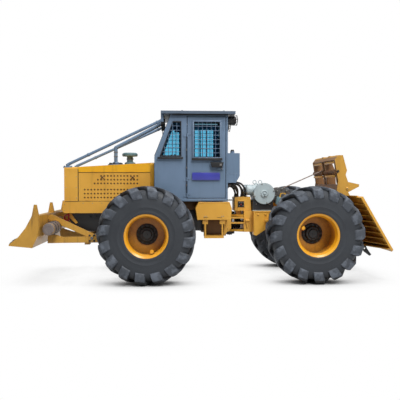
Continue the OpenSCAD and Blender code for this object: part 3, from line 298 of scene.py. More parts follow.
yellow = {"dirt": tone(96, 66, 38), "dustTone": tone(226, 196, 140), "bare": tone(120, 84, 44),
          "streak": 0.16, "soil": 0.5}
blue = {"dirt": tone(52, 60, 70), "dustTone": tone(150, 158, 166), "bare": tone(58, 62, 68), "streak": 0.18}
black = {"dirt": tone(40, 33, 27), "dustTone": tone(86, 78, 68), "bare": tone(96, 90, 84), "rough": 0.42,
         "soil": 0.4}
finish = {
    "body": paint("bodyPaint", yellow, (234, 175, 66), (223, 163, 56)),
    "hood": paint("hoodPaint", yellow, (250, 184, 14), (242, 171, 11), rough=0.3, coat=0.2, dust=0.15),
    "blade": paint("bladePaint", yellow, (213, 160, 62), (198, 146, 54), wear=0.9, streak=0.4, wearFrom=0.58),
    "rear": paint("rearPaint", yellow, (240, 181, 70), (230, 169, 60), wear=0.8, soil=0.35),
    # the arch's brown inside and its wide corner darkening are painted shade
    "arch": paint("archPaintAndShade", yellow, (214, 160, 60), (204, 150, 52), wear=0.8, corner=0.42, soil=1.0,
                  dirt=tone(84, 54, 29), zones=archShadeZones),
    # the rim's wide corner reach and dark brown tone paint the shade deep in the wheel dish
    "rim": paint("rimPaintAndShade", yellow, (255, 184, 40), (248, 172, 32), rough=0.28, coat=0.3, corner=0.4,
                 soil=1.0, dirt=tone(70, 36, 9)),
    "cab": paint("cabPaint", blue, (112, 134, 160), (104, 126, 150), rough=0.34),
    # a darker copy of the cab blue, painting the shade on the roof's edges
    "roof": paint("roofShadedPaint", blue, (86, 101, 119), (80, 95, 112), rough=0.4),
    "cleaner": paint("cleanerPaint", blue, (104, 132, 138), (92, 120, 126), dustTone=tone(158, 190, 192),
                     dust=0.7),
    "frame": paint("framePaint", black, (27, 27, 29), (21, 21, 22)),
    # a darker copy of the black paint, painting the shade on the hub deep in the wheel dish
    "hub": paint("hubShadedPaint", black, (17, 18, 21), (13, 14, 16), dust=0.1),
    "cylinder": paint("cylinderPaint", black, (38, 38, 41), (30, 30, 33), rough=0.28),
    "iron": paint("ironPaint", black, (70, 72, 72), (56, 58, 58), rough=0.55),
    "winch": paint("winchPaint", blue, (186, 199, 201), (174, 188, 191), soil=0.45,
                   dustTone=tone(206, 212, 212), zones=winchZones),
    # ochre in painted shade, for sheets and marks in shaded recesses
    "paintedShadeOchre": paint("paintedShadeOchrePaint", yellow, (132, 92, 46), (112, 78, 40), rough=0.6, dust=0.1, soil=0.7),
    "red": paint("redPaint", yellow, (196, 34, 28), (170, 24, 20), rough=0.3),
    "plate": paint("platePaint", blue, (66, 70, 172), (60, 63, 160), dust=0.05, streak=0.05, soil=0.1,
                   rough=0.25),
    "chrome": bareMetal("rodChrome", (205, 207, 210), (190, 192, 196), rough=0.12, rust=0.05,
                        stretch=(1, 12, 12)),
    "steel": bareMetal("wornSteel", (138, 136, 134), (108, 106, 104), rough=0.38),
    "bolt": bareMetal("boltSteel", (170, 168, 160), (128, 126, 120), rough=0.32, rust=0.35),
    "tube": bareMetal("primedTube", (150, 138, 134), (122, 112, 108), rough=0.45, metal=0.5),
    "roller": bareMetal("rustyRoller", (132, 96, 62), (104, 72, 46), rough=0.55, metal=0.4, rust=0.8),
    "rope": bareMetal("wireRope", (150, 132, 122), (104, 92, 86), rough=0.45, rust=0.6),
    "hose": softSkin("hoseRubber", (30, 30, 33), (22, 22, 24), rough=0.42, dust=0.25),
    "seal": softSkin("sealRubber", (24, 25, 27), (18, 18, 20), rough=0.5, dust=0.15),
    "plastic": softSkin("blackPlastic", (36, 37, 40), (28, 29, 31), rough=0.45, grain=220.0, dust=0.15),
    "seat": softSkin("seatCloth", (48, 49, 53), (34, 35, 38), rough=0.8, weave=1500.0, sheen=0.25, bump=0.5,
                     dust=0.1),
    "piping": softSkin("seatPiping", (84, 84, 88), (70, 70, 74)),
    # the tyre's wide corner reach and deep tone paint the shade between the lugs
    "tyre": tyreRubber("tyreRubber", {"tone": tone(52, 56, 62), "shade": tone(40, 43, 48), "edge": 0.012,
                                      "corner": 0.24, "lugTone": tone(120, 127, 138), "lugDust": 0.8,
                                      "sideTone": tone(80, 84, 89), "sideDust": 0.4,
                                      "scuff": tone(146, 148, 152), "deep": tone(11, 12, 14)}),
    "glass": glassPane("cabGlass", (10, 60, 110), (110, 160, 196), (0.60, 0.86, 0.95), 0.05),
    "lens": glassPane("lampLens", (226, 230, 236), (240, 240, 240), (0.9, 0.92, 0.95), 0.7),
    "redLens": glassPane("redLens", (206, 50, 36), (220, 100, 80), (0.9, 0.1, 0.08), 0.8),
}

slotOf = {"body": "body_ochre", "hood": "hood_yellow", "blade": "blade_ochre", "rear": "rear_ochre",
          "rim": "rim_yellow", "cab": "cab_blue", "cleaner": "cleaner_teal", "frame": "frame_black",
          "cylinder": "cylinder_black", "iron": "engine_iron", "winch": "winch_grey", "chrome": "rod_chrome",
          "steel": "drum_steel", "rope": "rope_steel", "hose": "hose_rubber", "plastic": "console_plastic",
          "seat": "seat_fabric", "tyre": "tyre", "glass": "glass", "bolt": "drum_steel",
          "seal": "hose_rubber", "tube": "drum_steel"}
finishOfSlot = {slotOf[tint]: tint for tint in reversed(slotOf)}  # the first finish of a slot stands
ownFinish = {"rope_arch": "arch", "fairlead_roller": "roller", "cab_roof": "roof", "work_lamps": "frame"}
for node in frame["record"]["subparts"]:
    part = frame["nodes"][node["node"]]
    for materialSlot in part.material_slots:
        materialSlot.material = finish[ownFinish.get(node["node"], finishOfSlot[node["material_slot"]])]
print("finishes ready,", len(finish))


def across(side, inner, outer):  # a stretch of y on one side, in rising order
    return sorted((side * inner, side * outer))


def disc(radius, thick, dome=0.0):  # profiles are (radius, distance along the axis)
    return [(0, 0), (radius, 0), (radius, thick), (0, thick + dome)]


def ring(inner, outer, low, high):
    return [(inner, low), (outer, low), (outer, high), (inner, high)]


def capped(profile, dome=0.0):  # closes a profile at the axis
    return [(0, profile[0][1])] + profile + [(0, profile[-1][1] + dome)]


def aroundCircle(count, start=0.0):  # angles in radians
    return [math.radians(start + 360 / count * k) for k in range(count)]


class Span:  # the box of one part
    def __init__(self, name):
        self.low, self.high = (Vector(corner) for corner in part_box(name))
        self.mid = (self.low + self.high) / 2


def newMesh(name, points, faces, edges=()):
    mesh = bpy.data.meshes.new(name)
    mesh.from_pydata([tuple(p) for p in points], list(edges), faces)
    return mesh


def newPiece(name, mesh):
    piece = bpy.data.objects.new(name, mesh)
    bpy.context.collection.objects.link(piece)
    return piece


def faceOutwards(mesh):
    shapes = bmesh.new()
    shapes.from_mesh(mesh)
    bmesh.ops.recalc_face_normals(shapes, faces=shapes.faces)
    shapes.to_mesh(mesh)
    shapes.free()


def settle(piece):  # turns what the modifiers show into the piece's own mesh
    bpy.context.view_layer.update()
    solid = bpy.data.meshes.new_from_object(piece.evaluated_get(bpy.context.evaluated_depsgraph_get()))
    piece.modifiers.clear()
    piece.data = solid


def roundEdges(piece, width, degrees):
    rounding = piece.modifiers.new("rounding", "BEVEL")
    rounding.width, rounding.segments, rounding.limit_method = width, 2, "ANGLE"
    rounding.angle_limit = math.radians(degrees)
    settle(piece)


def finishPiece(piece, body, smoothAngle=38):
    piece.data.polygons.foreach_set("use_smooth", [True] * len(piece.data.polygons))
    piece.data.set_sharp_from_angle(angle=math.radians(smoothAngle))
    if body:  # a hose that runs between two bodies has none
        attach(piece, body)
    return piece


class Bench:  # gathers closed shapes into one mesh, each with its own finish
    def __init__(self):
        self.points, self.faces, self.tints, self.finishes = [], [], [], []

    def keep(self, points, faces, tint):
        if tint not in self.finishes:
            self.finishes.append(tint)
        start = len(self.points)
        self.points += [Vector(p) for p in points]
        self.faces += [[start + i for i in face] for face in faces]
        self.tints += [self.finishes.index(tint)] * len(faces)

    def box(self, x, y, z, tint):
        corners = [(a, b, c) for a in x for b in y for c in z]
        sides = [(0, 1, 3, 2), (4, 6, 7, 5), (0, 4, 5, 1), (2, 3, 7, 6), (0, 2, 6, 4), (1, 5, 7, 3)]
        self.keep(corners, sides, tint)

    def boxPair(self, x, y, z, tint):  # y is given for the right side
        for side in (-1, 1):
            self.box(x, across(side, *y), z, tint)

    def plate(self, outline, y, tint):  # outline in x and z
        n = len(outline)
        faces = [list(range(n))[::-1], list(range(n, 2 * n))]
        faces += [(i, (i + 1) % n, (i + 1) % n + n, i + n) for i in range(n)]
        self.keep([(a, d, b) for d in y for a, b in outline], faces, tint)

    def platePair(self, outline, y, tint):
        for side in (-1, 1):
            self.plate(outline, across(side, *y), tint)

    def turned(self, profile, at, aim, tint, sides=32):
        turn = Vector(aim).to_track_quat("Z", "Y")
        rings, points, faces = [], [], []
        for radius, along in profile:
            if radius < 1e-6:
                rings.append([len(points)] * sides)
                points.append(Vector((0, 0, along)))
            else:
                rings.append([len(points) + i for i in range(sides)])
                points += [Vector((radius * math.cos(2 * math.pi * i / sides),
                                   radius * math.sin(2 * math.pi * i / sides), along)) for i in range(sides)]
        closed = profile[0][0] > 1e-6
        for low, high in zip(rings, rings[1:] + ([rings[0]] if closed else [])):
            for i in range(sides):
                face = []
                for corner in (low[i], low[(i + 1) % sides], high[(i + 1) % sides], high[i]):
                    if corner not in face:
                        face.append(corner)
                if len(face) > 2:
                    faces.append(face)
        self.keep([turn @ p + Vector(at) for p in points], faces, tint)

    def turnedPair(self, profile, at, tint, sides=32):  # facing out on both sides
        for side in (-1, 1):
            self.turned(profile, (at[0], side * at[1], at[2]), (0, side, 0), tint, sides)

    def bar(self, a, b, radius, tint, sides=12):
        reach = Vector(b) - Vector(a)
        self.turned(disc(radius, reach.length), a, reach, tint, sides)

    def tube(self, path, radius, tint, sides=10):  # round tube along a line of points
        path = [Vector(p) for p in path]
        last = len(path) - 1
        points, faces, side = [], [], None
        for i, p in enumerate(path):
            ahead = (path[min(i + 1, last)] - path[max(i - 1, 0)]).normalized()
            side = ahead.orthogonal() if side is None else side - ahead * side.dot(ahead)
            side.normalize()
            over = ahead.cross(side)
            for k in range(sides):
                angle = 2 * math.pi * k / sides
                points.append(p + radius * (math.cos(angle) * side + math.sin(angle) * over))
        for i in range(last):
            faces += [(i * sides + k, i * sides + (k + 1) % sides, (i + 1) * sides + (k + 1) % sides,
                       (i + 1) * sides + k) for k in range(sides)]
        faces += [list(range(sides))[::-1], [last * sides + k for k in range(sides)]]
        self.keep(points, faces, tint)

    def hexNut(self, at, aim, wide, thick, tint):  # nut with its washer and stud end
        self.turned(disc(wide * 0.78, thick * 0.2), at, aim, tint, 16)
        at = Vector(at) + Vector(aim).normalized() * thick * 0.2
        self.turned(capped([(wide * 0.577, 0), (wide * 0.577, thick * 0.7), (wide * 0.48, thick * 0.8)]),
                    at, aim, tint, 6)
        self.turned(capped([(wide * 0.3, thick * 0.7), (wide * 0.3, thick * 1.1)]), at, aim, tint, 12)

    def mirrored(self):  # adds the same shapes on the other side
        count = len(self.points)
        self.points += [Vector((p.x, -p.y, p.z)) for p in self.points]
        self.faces += [[i + count for i in reversed(face)] for face in self.faces]
        self.tints += list(self.tints)

    def make(self, name, body, bevel=0.003, smoothAngle=38, slotName=None):
        mesh = newMesh(name, self.points, self.faces)
        for tint in self.finishes:
            mesh.materials.append(finish[tint])
        mesh.polygons.foreach_set("material_index", self.tints)
        faceOutwards(mesh)
        piece = newPiece(name, mesh)
        if bevel:
            roundEdges(piece, bevel, 50)
        return finishPiece(piece, body, smoothAngle)


def newTree(name, inputs):  # a geometry tree with named inputs
    tree = bpy.data.node_groups.new(name, "GeometryNodeTree")
    for label, kind in inputs.items():
        tree.interface.new_socket(label, in_out="INPUT", socket_type="NodeSocket" + kind)
    tree.interface.new_socket("Geometry", in_out="OUTPUT", socket_type="NodeSocketGeometry")
    g = Graph(tree)
    entry = g.add("NodeGroupInput", output=None)
    return tree, g, {label: Wire(g, entry.outputs[label]) for label in inputs}


def endTree(g, geometry, material):
    real = g.add("GeometryNodeRealizeInstances", None, {"Geometry": geometry})
    dressed = g.add("GeometryNodeSetMaterial", None, {"Geometry": real, "Material": material})
    g.add("NodeGroupOutput", None, {"Geometry": dressed}, None)


def grow(name, mesh, tree, values, body, smoothAngle):
    piece = newPiece(name, mesh)
    maker = piece.modifiers.new("maker", "NODES")
    maker.node_group = tree
    for item in tree.interface.items_tree:
        if item.in_out == "INPUT" and item.name in values:
            maker[item.identifier] = values[item.name]
    settle(piece)
    return finishPiece(piece, body, smoothAngle)


def wireTree():  # round wire along every edge
    tree, g, asked = newTree("wireAlongEdges", {"Geometry": "Geometry", "Radius": "Float", "Sides": "Int",
                                                "Material": "Material"})
    line = g.add("GeometryNodeMeshToCurve", None, {"Mesh": asked["Geometry"]})
    circle = g.add("GeometryNodeCurvePrimitiveCircle", {"mode": "RADIUS"},
                   {"Resolution": asked["Sides"], "Radius": asked["Radius"]})
    wire = g.add("GeometryNodeCurveToMesh", None, {"Curve": line, "Profile Curve": circle, "Fill Caps": True})
    endTree(g, wire, asked["Material"])
    return tree


def scatterTree():  # one copy of a shape on each point, its +Z along the point's facing
    tree, g, asked = newTree("copiesOnPoints", {"Geometry": "Geometry", "Shape": "Object", "Size": "Float",
                                                "Material": "Material"})
    shape = g.add("GeometryNodeObjectInfo", {"transform_space": "ORIGINAL"}, {"Object": asked["Shape"]},
                  "Geometry")
    facing = g.add("GeometryNodeInputNamedAttribute", {"data_type": "FLOAT_VECTOR"}, {"Name": "facing"})
    turn = g.add("FunctionNodeAlignRotationToVector", {"axis": "Z"}, {"Vector": facing})
    points = g.add("GeometryNodeMeshToPoints", None, {"Mesh": asked["Geometry"]})
    copies = g.add("GeometryNodeInstanceOnPoints", None,
                   {"Points": points, "Instance": shape, "Rotation": turn, "Scale": asked["Size"]})
    endTree(g, copies, asked["Material"])
    return tree


def patternShape(name, bench):  # a small shape that only the trees use
    mesh = newMesh(name, bench.points, bench.faces)
    faceOutwards(mesh)
    return bpy.data.objects.new(name, mesh)


wires, copies = wireTree(), scatterTree()
oneBolt, oneRivet = Bench(), Bench()
oneBolt.hexNut((0, 0, 0), (0, 0, 1), 1.0, 0.7, "bolt")
oneRivet.turned(capped([(0.5, -0.1), (0.5, 0.06), (0.38, 0.2), (0.2, 0.27)], 0.02), (0, 0, 0), (0, 0, 1),
                "bolt", 12)
boltShape, rivetShape = patternShape("boltShape", oneBolt), patternShape("rivetShape", oneRivet)


def boltRow(name, spots, size, body, tint="bolt", shape=boltShape):  # spots are (place, facing)
    mesh = newMesh(name, [place for place, facing in spots], [])
    facings = mesh.attributes.new("facing", "FLOAT_VECTOR", "POINT")
    facings.data.foreach_set("vector", [v for place, facing in spots for v in facing])
    return grow(name, mesh, copies, {"Shape": shape, "Size": size, "Material": finish[tint]}, body, 30)


def sideBolts(name, places, size, body, tint="bolt", shape=boltShape):  # both sides, facing out
    boltRow(name, [((x, side * y, z), (0, side, 0)) for side in (-1, 1) for x, y, z in places], size, body,
            tint, shape)


def wireWork(name, lines, radius, tint, body, sides=8):
    points, edges = [], []
    for line in lines:
        edges += [(len(points) + i, len(points) + i + 1) for i in range(len(line) - 1)]
        points += line
    return grow(name, newMesh(name, points, [], edges), wires,
                {"Radius": radius, "Sides": sides, "Material": finish[tint]}, body, 60)


def curvedLine(points, steps=6):  # a smooth line through the points
    points = [Vector(p) for p in points]
    line = []
    for i in range(len(points) - 1):
        a, b, c, d = (points[max(i - 1, 0)], points[i], points[i + 1], points[min(i + 2, len(points) - 1)])
        for k in range(steps):
            t = k / steps
            line.append(0.5 * (2 * b + (c - a) * t + (2 * a - 5 * b + 4 * c - d) * t * t
                               + (3 * b - 3 * c + d - a) * t * t * t))
    return line + [points[-1]]


wheelSettings = {"lugs": 16, "crown": 0.742, "nuts": 12, "hubNuts": 8, "dish": -0.154,
                 "phase": {"front_left": 4, "front_right": 11, "rear_left": 17, "rear_right": 8},
                 "valveAt": {"front": 161, "rear": 296}}
# outer face of a lug from the middle of the tread to its foot on the sidewall:
# radius, distance from the tyre's middle, degrees behind the leading end, half width
lugStations = [(0.8005, -0.045, -1.5, 0.030), (0.8015, 0.03, 2.5, 0.036), (0.800, 0.12, 7.5, 0.044),
               (0.794, 0.20, 11.5, 0.056), (0.776, 0.258, 14.0, 0.070), (0.735, 0.290, 15.5, 0.078),
               (0.665, 0.291, 16.5, 0.076), (0.612, 0.286, 17.0, 0.070)]
# outer half of the tyre's body from the bead to the crown: radius, distance from the middle
bodyProfile = [(0.342, 0.234), (0.358, 0.2665), (0.366, 0.272), (0.384, 0.274), (0.400, 0.2715),
               (0.420, 0.2685), (0.430, 0.2715), (0.455, 0.2735), (0.462, 0.2765), (0.470, 0.2740),
               (0.53, 0.2760), (0.585, 0.2720), (0.64, 0.262), (0.69, 0.245), (0.722, 0.212),
               (0.736, 0.16), (0.742, 0.08)]


def onWheel(radius, aside, degrees):
    angle = math.radians(degrees)
    return Vector((radius * math.sin(angle), aside, radius * math.cos(angle)))


def lugPair():  # one lug of each side, half a pitch apart, around the wheel's middle
    points, faces, raised = [], [], []
    for side, turn in ((1, 0), (-1, 180 / wheelSettings["lugs"])):
        first = len(points)
        for radius, aside, behind, half in lugStations:
            spread = math.degrees(half / radius)
            inwards, deep = (0.035, 0.03) if aside > 0.25 else (0.01, 0.075)  # how far a flank sinks in
            for edge, sunk in ((-1.28, True), (-1, False), (1, False), (1.28, True)):
                place = onWheel(radius - deep * sunk, aside - inwards * sunk, behind + edge * spread + turn)
                points.append((place.x, place.y * side, place.z))
                raised.append(1.0 - sunk)
        last = first + (len(lugStations) - 1) * 4
        for i in range(first, last, 4):
            for k in range(4):
                a, b = i + k, i + (k + 1) % 4
                faces.append((a, b, b + 4, a + 4))
        faces += [(first + 3, first + 2, first + 1, first), tuple(last + k for k in range(4))]
    mesh = newMesh("lugPair", points, faces)
    mesh.attributes.new("lug", "FLOAT", "POINT").data.foreach_set("value", raised)
    faceOutwards(mesh)
    pair = newPiece("lugPair", mesh)
    roundEdges(pair, 0.009, 35)
    bpy.context.collection.objects.unlink(pair)
    return pair


def tyreTree():
    tree, g, asked = newTree("tyreWithLugs", {"Geometry": "Geometry", "Lug pair": "Object", "Lugs": "Int",
                                              "Phase": "Float", "Centre": "Vector", "Material": "Material"})
    shape = g.add("GeometryNodeObjectInfo", {"transform_space": "ORIGINAL"}, {"Object": asked["Lug pair"]},
                  "Geometry")
    spots = g.add("GeometryNodePoints", None, {"Count": asked["Lugs"]})
    angle = g.add("GeometryNodeInputIndex") * (2 * math.pi) / asked["Lugs"] + asked["Phase"]
    turn = g.add("ShaderNodeCombineXYZ", None, {"Y": angle})
    lugs = g.add("GeometryNodeInstanceOnPoints", None, {"Points": spots, "Instance": shape, "Rotation": turn})
    both = g.add("GeometryNodeJoinGeometry", output=None)
    for part in (lugs, asked["Geometry"]):
        g.feed(both.inputs[0], part)
    placed = g.add("GeometryNodeTransform", None,
                   {"Geometry": Wire(g, both.outputs[0]), "Translation": asked["Centre"]})
    endTree(g, placed, asked["Material"])
    return tree


def tyreBody(name):
    bench = Bench()
    outer = bodyProfile + [(wheelSettings["crown"], 0.0)]
    bench.turned(outer + [(radius, -aside) for radius, aside in reversed(bodyProfile)], (0, 0, 0), (0, 1, 0),
                 "tyre", 96)
    mesh = newMesh(name, bench.points, bench.faces)
    faceOutwards(mesh)
    return mesh


tyres, pair = tyreTree(), lugPair()
for wheel, phase in wheelSettings["phase"].items():
    body, axle = wheel + "_wheel", wheel.split("_")[0]
    side = -1 if "left" in wheel else 1
    centre, out = Span(wheel + "_tyre").mid, Vector((0, side, 0))
    tyre = grow(wheel + "_lugged_tyre", tyreBody(wheel + "TyreBody"), tyres,
                {"Lug pair": pair, "Lugs": wheelSettings["lugs"], "Phase": math.radians(phase),
                 "Centre": tuple(centre), "Material": finish["tyre"]}, body, 32)
    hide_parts(wheel + "_tyre")
    dish = centre + out * wheelSettings["dish"]
    hub = Bench()
    hub.turned(capped([(0.176, -0.001), (0.176, 0.010), (0.168, 0.016), (0.126, 0.016), (0.124, 0.055),
                       (0.112, 0.068), (0.080, 0.070), (0.078, 0.082), (0.070, 0.090)], 0.002), dish, out,
               "hub", 48)
    for k in range(wheelSettings["hubNuts"]):
        spot = onWheel(0.096, side * 0.068, 360 / wheelSettings["hubNuts"] * k + phase)
        hub.hexNut(dish + spot, out, 0.018, 0.012, "hub")
    hub.turned(capped([(0.014, 0.09), (0.014, 0.104)]), dish, out, "hub", 6)
    hub.make(wheel + "_hub_cover", body, 0.002)
    nuts = [(dish + onWheel(0.145, side * 0.015, 360 / wheelSettings["nuts"] * k), out)
            for k in range(wheelSettings["nuts"])]
    boltRow(wheel + "_wheel_nuts", nuts, 0.034, body, "hub")
    valve = Bench()
    seat = centre + onWheel(0.268, side * 0.150, wheelSettings["valveAt"][axle])
    valve.turned(capped([(0.024, 0), (0.024, 0.038), (0.034, 0.042), (0.036, 0.056), (0.028, 0.070)], 0.006),
                 seat, out, "rim", 20)
    valve.box((seat.x - 0.008, seat.x + 0.008), sorted((seat.y, seat.y + side * 0.03)),
              (seat.z - 0.03, seat.z + 0.03), "rim")
    valve.make(wheel + "_valve_guard", body, 0.002)
print("wheels made")


def gridLines(low, high, y, pitch, reachAt=None):  # crossing wires in x and z at one y
    lines = []
    columns = max(1, round((high.x - low.x) / pitch))
    rows = max(1, round((high.z - low.z) / pitch))
    for i in range(1, columns):
        x = low.x + (high.x - low.x) * i / columns
        bottom, top = reachAt("x", x) if reachAt else (low.z, high.z)
        if top - bottom > pitch * 0.3:
            lines.append([(x, y, bottom), (x, y, top)])
    for i in range(1, rows):
        z = low.z + (high.z - low.z) * i / rows
        front, back = reachAt("z", z) if reachAt else (low.x, high.x)
        if back - front > pitch * 0.3:
            lines.append([(front, y, z), (back, y, z)])
    return lines


def paneLines(half, low, high, columns, rows, xAt):  # crossing wires in y and z
    lines = []
    for i in range(1, columns):
        y = -half + 2 * half * i / columns
        lines.append([(xAt(low), y, low), (xAt(high), y, high)])
    for i in range(1, rows):
        z = low + (high - low) * i / rows
        lines.append([(xAt(z), -half, z), (xAt(z), half, z)])
    return lines


cabSettings = {"mesh": 0.074, "wire": 0.0042, "frameWide": 0.026, "slopeFrom": 2.10, "slopeRun": 0.28,
               "quarterLow": 2.11, "quarterDrop": 0.13, "plate": (1.703, 1.832), "rivet": 0.012,
               "rivetPitch": 0.158,
               "hingeOut": 0.014, "rearPane": (0.47, 1.90, 2.69), "screenPane": (0.53, 2.15, 2.76)}
shell, roof = Span("cab_shell"), Span("cab_roof")
doorPane, doorBox = Span("left_door_glass"), Span("left_door")
wall, cabTop = shell.high.y, shell.high.z
doorFront, doorBack = doorBox.low.x + 0.005, doorBox.high.x


def screenX(z):  # the windscreen's face
    rise = max(0.0, z - cabSettings["slopeFrom"]) / (cabTop - cabSettings["slopeFrom"])
    return shell.low.x + cabSettings["slopeRun"] * rise


quarterLow, quarterHigh = cabSettings["quarterLow"], cabTop - cabSettings["quarterDrop"]
quarterBack = shell.high.x - 0.04 - 0.65 - 0.11
quarterFoot, quarterHead = shell.low.x + 0.1, screenX(quarterHigh) + 0.082  # its front edge leans


def insideQuarter(kind, value):
    if kind == "z":
        share = (value - quarterLow) / (quarterHigh - quarterLow)
        return quarterFoot * (1 - share) + quarterHead * share, quarterBack
    if value >= quarterHead:
        return quarterLow, quarterHigh
    share = max(0.0, value - quarterFoot) / (quarterHead - quarterFoot)
    return quarterLow, quarterLow + (quarterHigh - quarterLow) * share


def doorTrim(side, word):
    body = word + "_door"
    low, high, wide = doorPane.low, doorPane.high, cabSettings["frameWide"]
    wireWork(word + "_door_window_guard", gridLines(low, high, side * (wall - 0.009), cabSettings["mesh"]),
             cabSettings["wire"], "cab", body)
    casing = Bench()
    proud = across(side, wall - 0.002, wall + 0.011)
    for x, z in (((low.x - wide, high.x + wide), (high.z, high.z + wide)),
                 ((low.x - wide, low.x), (low.z, high.z)), ((high.x, high.x + wide), (low.z, high.z)),
                 ((low.x - wide, high.x + wide), (low.z - 0.014, low.z))):
        casing.box(x, proud, z, "cab")
    casing.box((low.x - wide - 0.014, high.x + wide + 0.014), across(side, wall - 0.002, wall + 0.026),
               (low.z - 0.052, low.z - 0.012), "frame")
    casing.make(word + "_door_window_frame", body)
    seal = Bench()
    rebate = across(side, wall - 0.03, wall - 0.012)
    for x in ((low.x, low.x + 0.01), (high.x - 0.01, high.x)):
        seal.box(x, rebate, (low.z, high.z), "seal")
    for z in ((low.z, low.z + 0.01), (high.z - 0.01, high.z)):
        seal.box((low.x + 0.01, high.x - 0.01), rebate, z, "seal")
    seal.make(word + "_door_window_seal", body, 0.002)
    grip, back = Bench(), doorBack - 0.04
    grip.plate([(back - 0.2, 1.918), (back - 0.024, 1.918), (back + 0.004, 2.006), (back - 0.226, 2.006)],
               across(side, wall + 0.021, wall + 0.044), "seal")
    grip.box((back - 0.07, back - 0.03), across(side, wall + 0.04, wall + 0.05), (1.944, 1.98), "steel")
    grip.box((back - 0.10, back + 0.006), across(side, wall, wall + 0.006), (1.88, 1.915), "cab")
    grip.turned(capped([(0.014, 0), (0.014, 0.004), (0.009, 0.006)]),
                (back - 0.03, side * (wall + 0.006), 1.896), (0, side, 0), "steel", 20)
    grip.make(word + "_door_handle_grip", body)
    rivets = [((x, side * wall, 1.46 + cabSettings["rivetPitch"] * k), (0, side, 0))
              for x in (doorFront + 0.055, doorBack - 0.03) for k in range(9)]
    boltRow(word + "_door_rivets", rivets, cabSettings["rivet"], body, "cab", rivetShape)


bothSides = ((-1, "left"), (1, "right"))  # the left side is at negative y
for side, word in bothSides:
    doorTrim(side, word)
nameplate = Bench()
plateLow, plateHigh = cabSettings["plate"]
nameplate.box((doorPane.low.x - 0.032, doorPane.high.x + 0.002), (-wall - 0.004, -wall + 0.001),
              cabSettings["plate"], "plate")
nameplate.make("left_door_plate", "left_door", 0.002)
boltRow("left_door_plate_rivets",
        [((x, -wall - 0.003, z), (0, -1, 0)) for x in (doorPane.low.x - 0.022, doorPane.high.x - 0.008)
         for z in (plateLow + 0.01, plateHigh - 0.01)], 0.011, "left_door", "cab", rivetShape)


def cabSide(side, word):
    face = side * wall
    guard = gridLines(Vector((quarterFoot, 0, quarterLow)), Vector((quarterBack, 0, quarterHigh)),
                      side * (wall - 0.009), cabSettings["mesh"], insideQuarter)
    wireWork(word + "_quarter_window_guard", guard, cabSettings["wire"], "cab", "front_frame")
    seal = Bench()
    corners = [(quarterFoot, quarterLow), (quarterHead, quarterHigh), (quarterBack, quarterHigh),
               (quarterBack, quarterLow)]
    midX, midZ = (sum(c[i] for c in corners) / 4 for i in (0, 1))
    inner = [(x + (midX - x) * 0.07, z + (midZ - z) * 0.045) for x, z in corners]
    outer = [(x - (midX - x) * 0.05, z - (midZ - z) * 0.03) for x, z in corners]
    for i in range(4):
        k = (i + 1) % 4
        seal.plate([outer[i], outer[k], inner[k], inner[i]], across(side, wall - 0.001, wall + 0.006), "seal")
    seal.box((quarterFoot - 0.045, quarterBack + 0.035), across(side, wall - 0.001, wall + 0.022),
             (quarterLow - 0.05, quarterLow - 0.018), "frame")
    seal.make(word + "_quarter_window_seal", "front_frame", 0.002)
    rods, hingeX, hingeY = Bench(), doorBox.low.x, side * (wall + cabSettings["hingeOut"])
    for low, high in ((1.482, 1.686), (1.754, 2.436)):
        rods.bar((hingeX, hingeY, low), (hingeX, hingeY, high), 0.0055, "frame", 10)
    for z in (1.60, 1.90, 2.20):
        rods.turned(disc(0.010, 0.03), (hingeX, hingeY, z), (0, 0, 1), "steel", 14)
    rods.make(word + "_door_hinge_rods", "front_frame", 0.001)
    drip = Bench()
    # the black gutter strip under the roof's edge paints the shadow there
    drip.box((screenX(cabTop) + 0.02, shell.high.x - 0.01), across(side, wall - 0.001, wall + 0.03),
             (cabTop - 0.022, cabTop), "seal")
    drip.box((shell.low.x + 0.02, shell.high.x - 0.004), across(side, wall - 0.001, wall + 0.008),
             (shell.low.z + 0.004, shell.low.z + 0.05), "cab")
    drip.make(word + "_cab_gutter_and_sill", "front_frame", 0.002)
    rivets = [((shell.low.x + 0.06 + 0.1 * k, face + side * 0.007, shell.low.z + 0.027), (0, side, 0))
              for k in range(12)]
    for x, pitch, count in ((shell.high.x - 0.018, 0.18, 7), (shell.low.x + 0.03, 0.16, 4)):
        rivets += [((x, face, 1.5 + pitch * k), (0, side, 0)) for k in range(count)]
    boltRow(word + "_cab_rivets", rivets, 0.013, "front_frame", "cab", rivetShape)


for side, word in bothSides:
    cabSide(side, word)

lining = Bench()  # dark lining of the ceiling and of the upper walls, which also paints the shade in the cab's upper part
lining.box((screenX(2.7) + 0.11, shell.high.x - 0.06), (-0.56, 0.56), (cabTop - 0.03, cabTop - 0.006),
           "plastic")
lining.boxPair((screenX(2.7) + 0.12, quarterBack), (0.555, 0.572), (2.625, cabTop - 0.03), "plastic")
lining.box((shell.high.x - 0.075, shell.high.x - 0.047), (-0.55, 0.55), (2.70, cabTop - 0.03), "plastic")
lining.make("cab_roof_lining", "front_frame", 0.006)
floorMat = Bench()
floorMat.box((shell.low.x + 0.2, shell.high.x - 0.06), (-0.55, 0.55),
             (shell.low.z + 0.045, shell.low.z + 0.051), "seal")
for k in range(9):
    y = -0.22 + 0.055 * k
    floorMat.box((shell.low.x + 0.24, shell.low.x + 0.60), (y, y + 0.014),
                 (shell.low.z + 0.05, shell.low.z + 0.055), "seal")
floorMat.make("cab_floor_mat", "front_frame", 0.001)
pillars = Bench()  # inner bars of the right door
for x in (shell.low.x + 0.845, shell.low.x + 0.972):
    pillars.bar((x, 0.585, 2.09), (x, 0.585, 2.69), 0.013, "frame", 16)
pillars.make("right_door_guard_bars", "right_door", 0)

